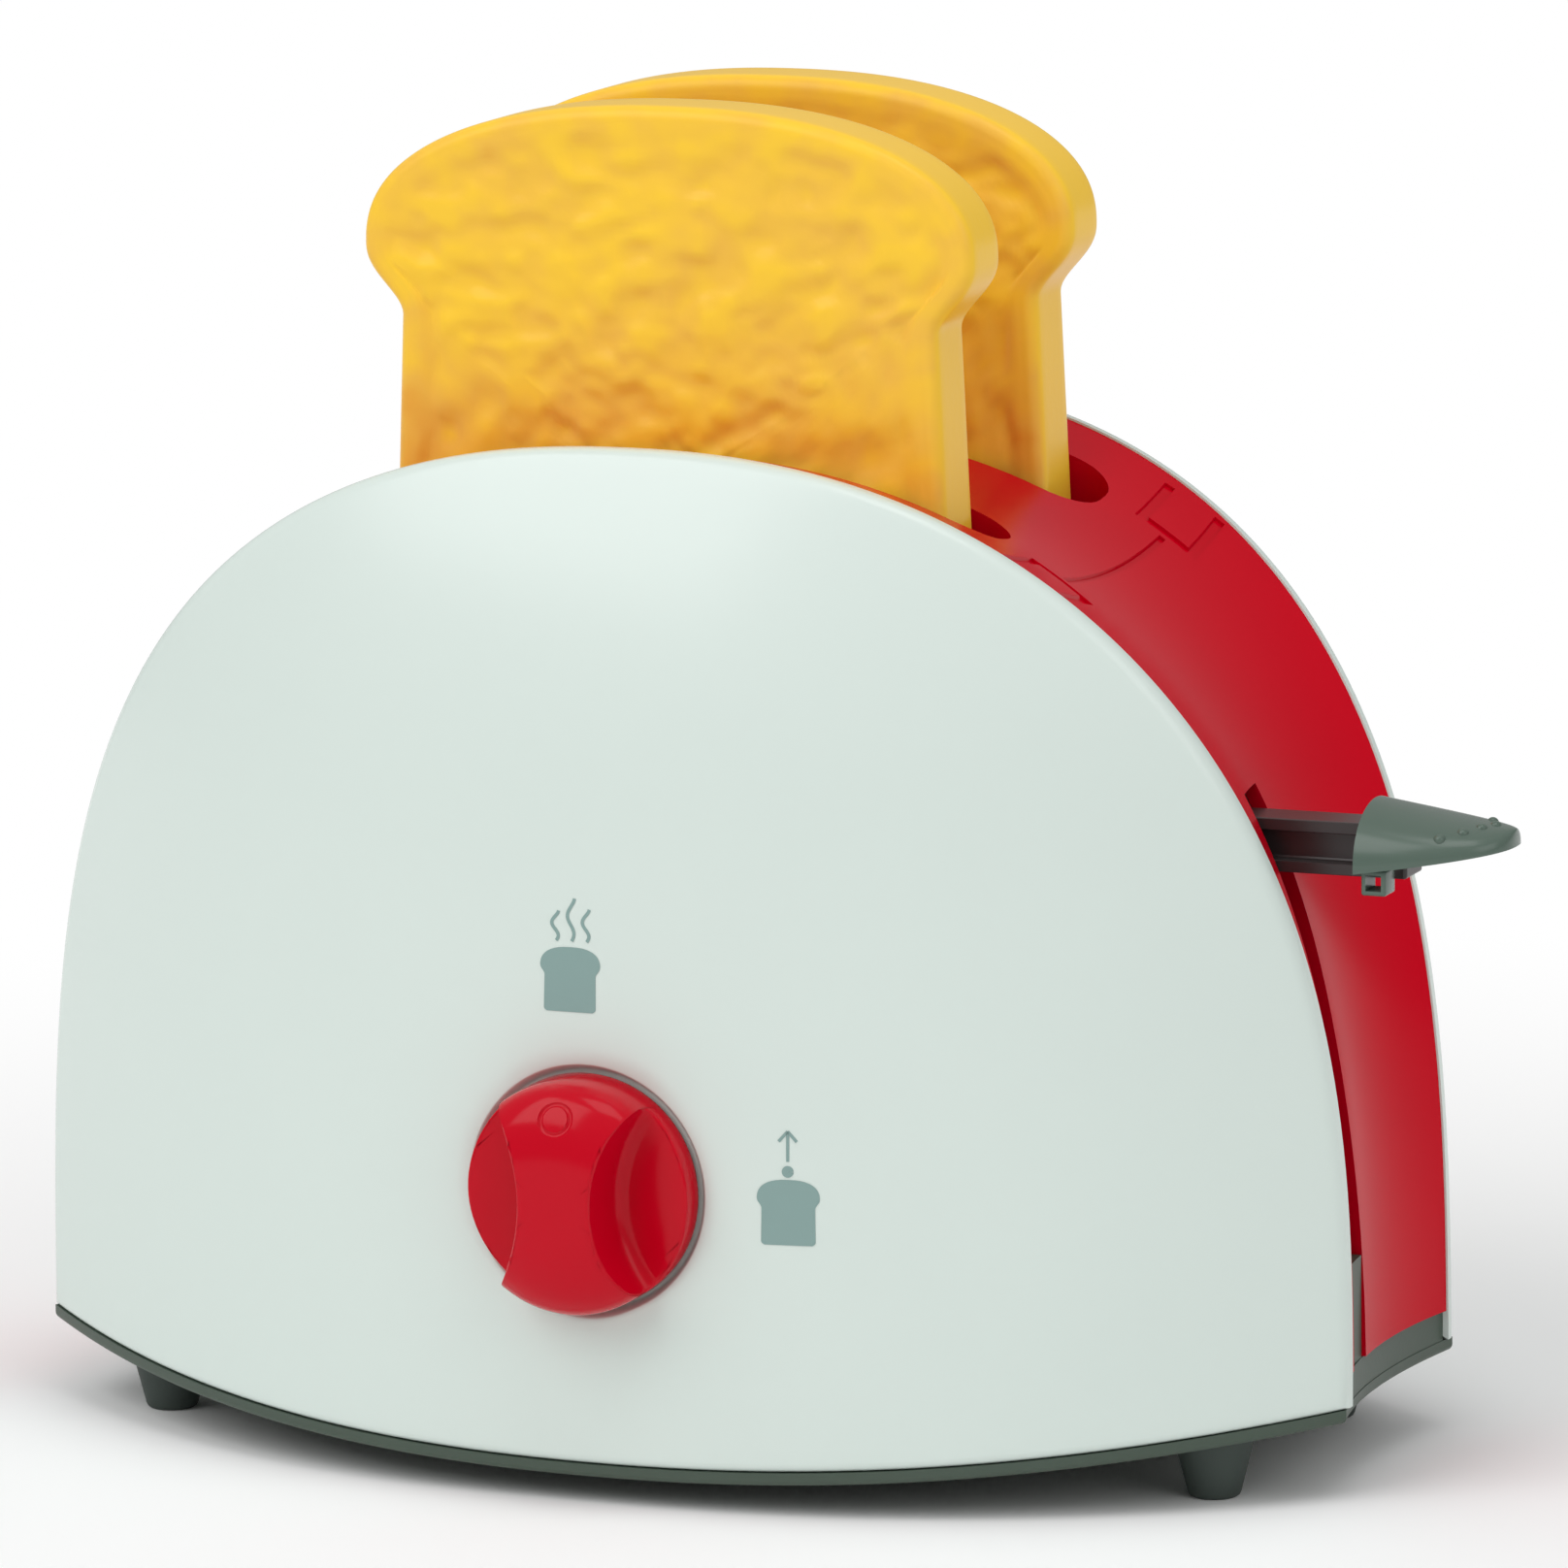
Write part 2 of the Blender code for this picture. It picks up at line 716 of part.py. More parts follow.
def make_shells(bench):
    back = bench.piece("back_shell", shell_mesh("back_shell", 1.0), SHELL_WHITE)
    solidify(back, SHELL_WALL)

    front = bench.piece("front_shell", shell_mesh("front_shell", -1.0), SHELL_WHITE)
    solidify(front, SHELL_WALL)
    z = up(KNOB_Z)
    floor = dish_floor()
    backing = turned_y("dish_backing", 0.0, z,
                       [(-knob_face() + SHELL_WALL / 2.0, DISH_R + DISH_BACK_MARGIN),
                        (-floor + DISH_BACK_WALL, DISH_R + DISH_BACK_MARGIN)], KNOB_SIDES)
    join(bench, front, bench.tool("dish_backing", backing))
    dish = turned_y("dish_cut", 0.0, z, [(-knob_face() - OVERRUN, DISH_R), (-knob_face(), DISH_R),
                                         (-floor, DISH_FLOOR_R)], KNOB_SIDES)
    cut(bench, front, bench.tool("dish_cut", dish))
    hole = turned_y("spindle_hole", 0.0, z,
                    [(-knob_face() - OVERRUN, SPINDLE_R + RUN_GAP),
                     (-floor + DISH_BACK_WALL + OVERRUN, SPINDLE_R + RUN_GAP)], BOSS_SIDES)
    cut(bench, front, bench.tool("spindle_hole", hole))


# Red band with its slots

def slot_prism(name, row_y, grow, z0, z1):
    half_length = SLICE_LOBE_HALF + SLOT_END_ROOM + grow
    outline = rounded_slot(half_length, SLOT_WIDTH / 2.0 + grow, SLOT_CORNER + grow,
                           SLOT_CORNER_STEPS)
    return prism_z(name, [(x, y + row_y) for x, y in outline], z0, z1)


def lever_slot_box(grow=0.0):
    """Low and high corner of the lever slot's cut through the +X end."""
    half = LEVER_SLOT_WIDTH / 2.0 + grow
    low = (arch_inner_x(LEVER_SLOT_TOP), LEVER_Y - half, up(-EDGE_SAG))
    high = (BODY_HALF_LENGTH + OVERRUN, LEVER_Y + half, up(LEVER_SLOT_TOP))
    return low, high


def arch_inner_x(z):
    """Place just inside the band's end at the height z."""
    inset = band_recess(0.0) + BAND_WALL
    share = min(z / (ARCH_HEIGHT - inset), 1.0)
    reach = (BODY_HALF_LENGTH - inset) * (1.0 - share ** ARCH_POWER_Z) ** (1.0 / ARCH_POWER_X)
    return reach - BAND_WALL


def clip_mark_x():
    return BODY_HALF_LENGTH - CLIP_MARK_FROM_END


def clip_mark_edge():
    """Where a clip mark ends, next to the shell."""
    x = clip_mark_x()
    return face_depth(x, arch_height(x, 0.0)) - SHELL_RIM_DEPTH - GAP - CLIP_MARK_EDGE


def groove_prism(name, side_x, outline):
    """Upright cutter through the band's shoulder from an outline beside the mark's middle."""
    z = up(arch_height(clip_mark_x(), 0.0))
    placed = [(side_x * (clip_mark_x() + x), y) for x, y in outline]
    return prism_z(name, placed, z - CLIP_MARK_LENGTH, z + CLIP_MARK_LENGTH)


def clip_mark(name, side_x, side_y):
    """U-shaped groove, open towards the shell."""
    near, far = clip_mark_edge(), clip_mark_edge() - CLIP_MARK_LENGTH
    half = CLIP_MARK_WIDTH / 2.0
    wide = half + CLIP_MARK_GROOVE
    outline = [(-wide, near), (-half, near), (-half, far), (half, far), (half, near), (wide, near),
               (wide, far - CLIP_MARK_GROOVE), (-wide, far - CLIP_MARK_GROOVE)]
    return groove_prism(name, side_x, [(x, side_y * y) for x, y in outline])


def make_grooves(bench, band):
    """All grooves as one tool, which the band's own shape at a groove's depth cuts off below."""
    half = GROOVE_WIDTH / 2.0
    end = clip_mark_edge() - CLIP_MARK_LENGTH - CLIP_MARK_GROOVE - GROOVE_WIDTH
    line = [(-half, -end), (half, -end), (half, end), (-half, end)]
    grooves = bench.tool("grooves", groove_prism("grooves", 1.0, line))
    join(bench, grooves, bench.tool("groove_line", groove_prism("groove_line", -1.0, line)))
    for side_x, label in ((-1.0, "left"), (1.0, "right")):
        for side_y, where in ((-1.0, "_front"), (1.0, "_back")):
            name = "clip_mark_" + label + where
            join(bench, grooves, bench.tool(name, clip_mark(name, side_x, side_y)))
    cut(bench, grooves, bench.tool("groove_floor", band_envelope("groove_floor", GROOVE_DEPTH, up(0.0))))
    cut(bench, band, grooves)


def make_band(bench):
    band = bench.piece("body_band", loft("body_band", band_rows(), closed_loops=False,
                                         inside=(0.0, 0.0, up(0.0))), BAND_RED)
    smooth(band.data)
    solidify(band, BAND_WALL)

    fill = band_envelope("band_fill", BAND_WALL / 2.0, up(0.0))
    for label, row_y in (("front", -SLICE_PITCH / 2.0), ("back", SLICE_PITCH / 2.0)):
        collar = bench.tool(label + "_collar",
                            slot_prism(label + "_collar", row_y, SLOT_COLLAR_WALL,
                                       up(SLOT_COLLAR_FOOT), up(ARCH_HEIGHT)))
        keep_common(bench, collar, label + "_collar_fill", fill)
        join(bench, band, collar)
        slot = slot_prism(label + "_slot", row_y, 0.0, up(SLOT_COLLAR_FOOT) - OVERRUN,
                          up(ARCH_HEIGHT) + OVERRUN)
        cut(bench, band, bench.tool(label + "_slot", slot))

    cap = bench.tool("rod_cap", turned_z("rod_cap", ROD_X, ROD_Y,
                                         [(up(ROD_CAP_FOOT), ROD_BOSS_R),
                                          (up(ARCH_HEIGHT), ROD_BOSS_R)], BOSS_SIDES))
    keep_common(bench, cap, "rod_cap_fill", fill)
    join(bench, band, cap)
    socket = turned_z("rod_cap_hole", ROD_X, ROD_Y,
                      [(up(ROD_CAP_FOOT) - OVERRUN, ROD_R + GAP), (up(ROD_TOP) + GAP, ROD_R + GAP)],
                      BOSS_SIDES)
    cut(bench, band, bench.tool("rod_cap_hole", socket))

    for side in (-1.0, 1.0):
        for number, y in enumerate(BASE_SCREW_YS):
            label = ("right" if side > 0.0 else "left") + str(number + 1)
            x = side * base_screw_x()
            boss = turned_z("boss_" + label, x, y,
                            [(up(BAND_FOOT), BOSS_R), (up(BAND_BOSS_TOP), BOSS_R)], BOSS_SIDES)
            join(bench, band, bench.tool("boss_" + label, boss))
            wall = BODY_HALF_LENGTH - band_recess(0.0) - BAND_WALL / 2.0
            inner, outer = sorted((x, side * wall))
            web = box("web_" + label, (inner, y - BOSS_HOLE_R, up(BAND_FOOT)),
                      (outer, y + BOSS_HOLE_R, up(BAND_BOSS_TOP) - OVERRUN))
            join(bench, band, bench.tool("web_" + label, web))
            bore = turned_z("bore_" + label, x, y,
                            [(up(BAND_FOOT) - OVERRUN, BOSS_HOLE_R),
                             (up(BAND_FOOT) + BAND_BOSS_HOLE, BOSS_HOLE_R)], BOSS_SIDES)
            cut(bench, band, bench.tool("bore_" + label, bore))

    low, high = lever_slot_box()
    cut(bench, band, bench.tool("lever_slot", box("lever_slot", low, high)))
    make_grooves(bench, band)


# Base tray and feet

def tray_plan(inset):
    """Loop of (x, y) round the body's foot. The ends curve in between the shells."""
    points = []
    reach = BODY_HALF_LENGTH - inset
    for side in (-1.0, 1.0):
        for i in range(FOOT_LINE_STEPS + 1):
            share = -1.0 + 2.0 * i / FOOT_LINE_STEPS
            bend = math.sin(share * QUARTER_TURN)
            x = -side * bend * reach
            points.append((x, side * (face_depth(x, 0.0) - inset)))
        end_half = face_depth(reach, 0.0) - inset
        x = -side * reach
        for i in range(1, BAND_STRIPS):
            across = -1.0 + 2.0 * i / BAND_STRIPS
            dip = TRAY_END_DIP * (1.0 - across * across)
            points.append((x + side * dip, -side * across * end_half))
    return points


def tray_ring(inset, z, sags=True):
    return [Vector((x, y, up(z - (edge_sag(x) if sags else 0.0)))) for x, y in tray_plan(inset)]


def tray_floor_top():
    return TRAY_UNDERSIDE + TRAY_FLOOR


def end_block(name, side):
    """Grey end between the shells' rims, which the band stands on."""
    half = END_HALF_DEPTH - SHELL_RIM_DEPTH - BAND_RIM_GAP
    end_half = face_depth(BODY_HALF_LENGTH - LIP_INSET, 0.0) - LIP_INSET
    outline = []
    for i in range(BAND_STRIPS + 1):
        y = -half + 2.0 * half * i / BAND_STRIPS
        dip = TRAY_END_DIP * (1.0 - (y / end_half) ** 2)
        outline.append((side * (BODY_HALF_LENGTH - LIP_INSET - dip), y))
    outline += [(side * (BODY_HALF_LENGTH - TRAY_END_BLOCK), half),
                (side * (BODY_HALF_LENGTH - TRAY_END_BLOCK), -half)]
    return prism_z(name, outline, up(TRAY_UNDERSIDE), up(BAND_FOOT - GAP))


def post(bench, base, name, x, y, radius, top, hole_r, hole_foot):
    """Round post on the tray's floor with a blind hole from its top."""
    body = turned_z(name, x, y, [(up(TRAY_UNDERSIDE + TRAY_FLOOR / 2.0), radius), (up(top), radius)],
                    BOSS_SIDES)
    join(bench, base, bench.tool(name, body))
    if hole_r > 0.0:
        hole = turned_z(name + "_hole", x, y, [(up(hole_foot), hole_r), (up(top) + OVERRUN, hole_r)],
                        BOSS_SIDES)
        cut(bench, base, bench.tool(name + "_hole", hole))


def make_base(bench):
    wall_in = TRAY_WALL_INSET + TRAY_WALL
    loops = [
        tray_ring(wall_in, TRAY_UNDERSIDE, sags=False),
        tray_ring(wall_in, -LIP_HEIGHT),
        tray_ring(LIP_INSET + LIP_ROUND, -LIP_HEIGHT),
        tray_ring(LIP_INSET, -LIP_HEIGHT + LIP_ROUND / 2.0),
        tray_ring(LIP_INSET, -GAP),
        tray_ring(TRAY_WALL_INSET, -GAP),
        tray_ring(TRAY_WALL_INSET, BAND_FOOT - GAP, sags=False),
        tray_ring(wall_in, BAND_FOOT - GAP, sags=False),
        tray_ring(wall_in, tray_floor_top(), sags=False),
    ]
    mesh = loft("base_tray", loops, first_cap=True, last_cap=True)
    base = bench.piece("base_tray", mesh, BASE_GREY)
    smooth(mesh)

    for side, label in ((-1.0, "left"), (1.0, "right")):
        join(bench, base, bench.tool("end_" + label, end_block("end_" + label, side)))
        for end, where in ((-1.0, "front"), (1.0, "back")):
            place = label + "_" + where
            x, y = side * foot_x(), end * FOOT_Y
            seat = turned_z("foot_seat_" + place, x, y,
                            [(up(-FOOT_SEAT), FOOT_TOP_R), (up(TRAY_UNDERSIDE / 2.0), FOOT_TOP_R)],
                            FOOT_SIDES)
            join(bench, base, bench.tool("foot_seat_" + place, seat))
            socket = turned_z("foot_socket_" + place, x, y,
                              [(0.0, FOOT_TOP_R + GAP), (up(-FOOT_SEAT), FOOT_TOP_R + GAP),
                               (up(-FOOT_SEAT), FOOT_SPIGOT_R + GAP),
                               (up(-FOOT_SEAT) + FOOT_SPIGOT_RISE, FOOT_SPIGOT_R + GAP)], FOOT_SIDES)
            cut(bench, base, bench.tool("foot_socket_" + place, socket))

    half = LEVER_SLOT_WIDTH / 2.0 - GAP
    inner = BODY_HALF_LENGTH - band_recess(0.0) - UPSTAND_WALL
    upstand = bench.tool("upstand", box("upstand", (inner, LEVER_Y - half, up(TRAY_UNDERSIDE / 2.0)),
                                        (BODY_HALF_LENGTH, LEVER_Y + half, up(UPSTAND_TOP))))
    keep_common(bench, upstand, "upstand_face", band_envelope("upstand_face", 0.0, up(TRAY_UNDERSIDE)))
    join(bench, base, upstand)

    for side, label in ((-1.0, "left"), (1.0, "right")):
        for number, y in enumerate(BASE_SCREW_YS):
            name = "base_post_" + label + str(number + 1)
            x = side * base_screw_x()
            post(bench, base, name, x, y, BOSS_R, BAND_FOOT - GAP, 0.0, 0.0)
            hole = turned_z(name + "_bore", x, y,
                            [(up(TRAY_UNDERSIDE) - OVERRUN, BOSS_HOLE_R),
                             (up(BAND_FOOT) + OVERRUN, BOSS_HOLE_R)], BOSS_SIDES)
            cut(bench, base, bench.tool(name + "_bore", hole))
            recess = turned_z(name + "_recess", x, y, [(0.0, HEAD_RECESS_R),
                                                       (up(BASE_RECESS_TOP), HEAD_RECESS_R)],
                              BOSS_SIDES)
            cut(bench, base, bench.tool(name + "_recess", recess))

    for number, x in enumerate(PLATE_SCREW_XS):
        post(bench, base, "plate_post" + str(number + 1), x, plate_screw_y(), BOSS_R,
             PLATE_FOOT - GAP, BOSS_HOLE_R, TRAY_UNDERSIDE + TRAY_FLOOR / 2.0)
    post(bench, base, "rod_post", ROD_X, ROD_Y, ROD_BOSS_R, ROD_BOSS_TOP, ROD_R + GAP,
         ROD_FOOT - GAP)
    post(bench, base, "latch_spring_post", LATCH_SPRING_X, CAM_Y, LATCH_POST_R, LATCH_SPRING_FOOT,
         0.0, 0.0)
    rib_half = GUIDE_RIB_WIDTH / 2.0
    join_box(bench, base, "guide_rib",
             (FORK_X - rib_half, -GUIDE_RIB_WALL / 2.0, up(TRAY_UNDERSIDE + TRAY_FLOOR / 2.0)),
             (FORK_X + rib_half, GUIDE_RIB_WALL / 2.0, up(GUIDE_RIB_TOP)))


def make_feet(bench):
    seat = up(-FOOT_SEAT)
    stations = [(0.0, FOOT_BOTTOM_R), (seat - GAP, FOOT_TOP_R), (seat - GAP, FOOT_SPIGOT_R),
                (seat + FOOT_SPIGOT_RISE - GAP, FOOT_SPIGOT_R)]
    for side, label in ((-1.0, "left"), (1.0, "right")):
        for end, where in ((-1.0, "front"), (1.0, "back")):
            name = "foot_" + label + "_" + where
            mesh = turned_z(name, side * foot_x(), end * FOOT_Y, stations, FOOT_SIDES)
            smooth(mesh)
            bench.piece(name, mesh, FOOT_GREY)


def screw(name, x, y, head_z, length, direction):
    """Pan-headed screw along Z. The head starts at head_z and the shaft goes in the direction."""
    shoulder = head_z + direction * SCREW_HEAD
    return turned_z(name, x, y, [(head_z, SCREW_HEAD_R), (shoulder, SCREW_HEAD_R), (shoulder, SCREW_R),
                                 (shoulder + direction * length, SCREW_R)], BOSS_SIDES)


def make_base_screws(bench):
    head = up(BASE_RECESS_TOP) - GAP - SCREW_HEAD
    for side, label in ((-1.0, "left"), (1.0, "right")):
        for number, y in enumerate(BASE_SCREW_YS):
            name = "base_screw_" + label + str(number + 1)
            mesh = screw(name, side * base_screw_x(), y, head, BASE_SCREW_LENGTH, 1.0)
            smooth(mesh)
            bench.piece(name, mesh, STEEL)


# Slices of toast

def slice_foot_half():
    return SLICE_WAIST_HALF + SLICE_FLARE_SHARE * (SLICE_WAIST_Z - SLICE_FOOT)


def slice_outline():
    """Loaf outline, from the foot up the right side, over the crown and down the left."""
    foot = slice_foot_half()
    right = arc(foot - SLICE_CORNER, up(SLICE_FOOT) + SLICE_CORNER, SLICE_CORNER, -QUARTER_TURN,
                0.0, SLOT_CORNER_STEPS)
    right.append((SLICE_WAIST_HALF, up(SLICE_WAIST_Z)))
    for i in range(1, SLICE_LOBE_STEPS + 1):
        turn = QUARTER_TURN * i / SLICE_LOBE_STEPS
        right.append((SLICE_WAIST_HALF + (SLICE_LOBE_HALF - SLICE_WAIST_HALF) * math.sin(turn),
                      up(SLICE_WAIST_Z + (SLICE_LOBE_Z - SLICE_WAIST_Z) * (1.0 - math.cos(turn)))))
    for i in range(1, SLICE_CROWN_STEPS):
        turn = QUARTER_TURN * i / SLICE_CROWN_STEPS
        right.append((SLICE_LOBE_HALF * math.cos(turn) ** (2.0 / SLICE_CROWN_POWER),
                      up(SLICE_LOBE_Z + (SLICE_TOP - SLICE_LOBE_Z)
                         * math.sin(turn) ** (2.0 / SLICE_CROWN_POWER))))
    crown = [(0.0, up(SLICE_TOP))]
    return right + crown + [(-x, z) for x, z in reversed(right)]


def make_slices(bench):
    for name, y in (("toast_front", -SLICE_PITCH / 2.0), ("toast_back", SLICE_PITCH / 2.0)):
        pivot = bench.pivot(name + "_lift", Vector((0.0, y, up(SLICE_FOOT))))
        mesh = prism_y(name, slice_outline(), y - SLICE_THICKNESS / 2.0, y + SLICE_THICKNESS / 2.0)
        toast = bench.piece(name, mesh, TOAST_YELLOW, pivot)
        smooth(mesh)
        round_edges(toast, SLICE_EDGE_ROUND)


# Carriage, guide rod and lift spring

def cradle_half_width():
    return SLICE_THICKNESS / 2.0 + CRADLE_SIDE_GAP + CRADLE_WALL


def seat_top():
    return ARM_TOP - ARM_HEIGHT - GAP


def make_carriage(bench, slide):
    half_width = cradle_half_width()
    half_length = slice_foot_half() + CRADLE_END_GAP + CRADLE_WALL
    floor, plate = up(CRADLE_FLOOR), up(CRADLE_FLOOR + CRADLE_PLATE)
    rim = up(CRADLE_FLOOR + CRADLE_RISE)
    rows = (-SLICE_PITCH / 2.0, SLICE_PITCH / 2.0)

    mesh = box("carriage", (FORK_X + FORK_LENGTH / 2.0, -SPINE_WIDTH / 2.0, floor),
               (ROD_X - SLIDER_R / 2.0, SPINE_WIDTH / 2.0, plate))
    carriage = bench.piece("carriage", mesh, INNER_NATURAL, slide)
    join_box(bench, carriage, "spine_rib",
             (FORK_X + FORK_LENGTH / 2.0 + OVERRUN, -SPINE_RIB_WIDTH / 2.0, floor - SPINE_RIB),
             (ROD_X - SLIDER_R / 2.0 - OVERRUN, SPINE_RIB_WIDTH / 2.0, floor + CRADLE_PLATE / 2.0))
    for label, y in zip(("front", "back"), rows):
        join_box(bench, carriage, "cradle_" + label, (-half_length, y - half_width, floor),
                 (half_length, y + half_width, rim))
        cut_box(bench, carriage, "cradle_bed_" + label,
                (-half_length + CRADLE_WALL, y - half_width + CRADLE_WALL, plate),
                (half_length - CRADLE_WALL, y + half_width - CRADLE_WALL, rim + OVERRUN))
    for number, x in enumerate(CRADLE_WINDOW_XS):
        cut_box(bench, carriage, "cradle_window" + str(number + 1),
                (x - CRADLE_WINDOW / 2.0, rows[0] - half_width - OVERRUN,
                 floor + CRADLE_WINDOW_SILL),
                (x + CRADLE_WINDOW / 2.0, rows[1] + half_width + OVERRUN,
                 floor + CRADLE_WINDOW_HEAD))
    for number, x in enumerate((-BRIDGE_X, BRIDGE_X)):
        join_box(bench, carriage, "bridge" + str(number + 1),
                 (x - BRIDGE_WIDTH / 2.0, rows[0] + half_width - CRADLE_WALL / 2.0, floor),
                 (x + BRIDGE_WIDTH / 2.0, rows[1] - half_width + CRADLE_WALL / 2.0, plate))

    inner, outer = GUIDE_RIB_WALL / 2.0 + RUN_GAP, GUIDE_RIB_WALL / 2.0 + RUN_GAP + FORK_FINGER
    for label, side in (("front", -1.0), ("back", 1.0)):
        low, high = sorted((side * inner, side * outer))
        join_box(bench, carriage, "fork_" + label,
                 (FORK_X - FORK_LENGTH / 2.0, low, floor - SPINE_RIB),
                 (FORK_X + FORK_LENGTH / 2.0 + FORK_FINGER, high, plate))
        join_box(bench, carriage, "fork_root_" + label,
                 (FORK_X + FORK_LENGTH / 2.0, low - FORK_FINGER, floor),
                 (FORK_X + FORK_LENGTH / 2.0 + FORK_FINGER, high + FORK_FINGER, plate))

    slider = turned_z("slider", ROD_X, ROD_Y, [(up(SLIDER_FOOT), SLIDER_R), (up(SLIDER_TOP), SLIDER_R)],
                      BOSS_SIDES)
    join(bench, carriage, bench.tool("slider", slider))
    arm_near = LEVER_Y + ARM_WIDTH / 2.0 + GAP
    middle = ARM_ROOT_X + SEAT_LENGTH / 2.0
    web_top = up(CRADLE_FLOOR + CRADLE_PLATE / 2.0)
    join_box(bench, carriage, "seat_web",
             (middle - SEAT_WEB_LENGTH / 2.0, arm_near, up(seat_top() - SEAT_PLATE / 2.0)),
             (middle + SEAT_WEB_LENGTH / 2.0, ROD_Y - SLIDER_R + OVERRUN / 2.0, web_top))
    join_box(bench, carriage, "slider_web",
             (middle - SEAT_WEB_LENGTH / 2.0, ROD_Y - SLIDER_R - OVERRUN / 2.0,
              up(SLIDER_FOOT) + OVERRUN),
             (middle + SEAT_WEB_LENGTH / 2.0, ROD_Y - SPRING_R, web_top))
    join_box(bench, carriage, "seat",
             (ARM_ROOT_X, LEVER_Y - ARM_WIDTH / 2.0, up(seat_top() - SEAT_PLATE)),
             (ARM_ROOT_X + SEAT_LENGTH, arm_near + SPINE_RIB_WIDTH, up(seat_top())))
    boss = turned_z("seat_boss", middle, LEVER_Y,
                    [(up(seat_top() - SEAT_PLATE - SEAT_BOSS), BOSS_R - GAP),
                     (up(seat_top() - SEAT_PLATE / 2.0), BOSS_R - GAP)], BOSS_SIDES)
    join(bench, carriage, bench.tool("seat_boss", boss))
    bore = turned_z("seat_bore", middle, LEVER_Y,
                    [(up(seat_top() - SEAT_PLATE - SEAT_BOSS) - OVERRUN, BOSS_HOLE_R),
                     (up(seat_top()) + OVERRUN, BOSS_HOLE_R)], BOSS_SIDES)
    cut(bench, carriage, bench.tool("seat_bore", bore))
    run = turned_z("slider_bore", ROD_X, ROD_Y,
                   [(up(SLIDER_FOOT) - OVERRUN, ROD_R + RUN_GAP),
                    (up(SLIDER_TOP) + OVERRUN, ROD_R + RUN_GAP)], BOSS_SIDES)
    cut(bench, carriage, bench.tool("slider_bore", run))

    face = rows[0] - half_width
    catch_z = up(CATCH_TOP) - CATCH_R
    boss = turned_y("catch_boss", CATCH_X, catch_z,
                    [(face - CATCH_BOSS, CATCH_BOSS_R), (face + CRADLE_WALL / 2.0, CATCH_BOSS_R)],
                    BOSS_SIDES)
    join(bench, carriage, bench.tool("catch_boss", boss))
    hole = turned_y("catch_hole", CATCH_X, catch_z,
                    [(face - CATCH_BOSS - OVERRUN, CATCH_R + GAP),
                     (face + CRADLE_WALL + OVERRUN, CATCH_R + GAP)], CATCH_SIDES)
    cut(bench, carriage, bench.tool("catch_hole", hole))
    pin = turned_y("catch_pin", CATCH_X, catch_z,
                   [(face - CATCH_REACH, CATCH_R), (face + CRADLE_WALL - GAP, CATCH_R)], CATCH_SIDES)
    smooth(pin)
    bench.piece("catch_pin", pin, STEEL, slide)


def coil(name, x, y, foot, top, radius, wire_r, turns):
    """Compression spring: a closed turn at each end, even curls between, and short upright
    ends that stand on the seats. Prints the least gap between neighbouring curls."""
    closed = 2.0 * wire_r * CLOSED_TURN_PITCH_SHARE
    stub = 2.0 * wire_r
    low, high = foot + stub, top - stub
    open_pitch = (high - low - 2.0 * closed) / (turns - 2)
    steps = turns * SPRING_POINTS
    points = []
    for i in range(steps + 1):
        turn = i / SPRING_POINTS
        climb = closed * min(turn, 1.0) + open_pitch * min(max(turn - 1.0, 0.0), turns - 2.0)
        climb += closed * max(turn - turns + 1.0, 0.0)
        angle = FULL_TURN * turn
        points.append(Vector((x + radius * math.cos(angle), y + radius * math.sin(angle), low + climb)))
    points.insert(0, Vector((points[0].x, points[0].y, foot)))
    points.append(Vector((points[-1].x, points[-1].y, top)))
    gap = min((a - b).length for i, a in enumerate(points) for b in points[i + SPRING_POINTS - 2:])
    print(name, "least gap between curls", round((gap - 2.0 * wire_r) * 1000.0, 3), "mm")
    curve = bpy.data.curves.new(name, "CURVE")
    curve.dimensions = "3D"
    curve.bevel_depth = wire_r
    curve.bevel_resolution = 1
    curve.use_fill_caps = True
    spline = curve.splines.new("POLY")
    spline.points.add(len(points) - 1)
    for place, point in zip(spline.points, points):
        place.co = (*point, 1.0)
    return solid_from_curve(curve, name)


def make_guides(bench):
    rod = turned_z("guide_rod", ROD_X, ROD_Y, [(up(ROD_FOOT), ROD_R), (up(ROD_TOP), ROD_R)], BOSS_SIDES)
    smooth(rod)
    bench.piece("guide_rod", rod, STEEL)
    spring = coil("lift_spring", ROD_X, ROD_Y, up(ROD_BOSS_TOP) + GAP, up(SLIDER_FOOT) - GAP, SPRING_R,
                  SPRING_WIRE_R, SPRING_TURNS)
    smooth(spring)
    bench.piece("lift_spring", spring, STEEL)


# Lever arm and handle

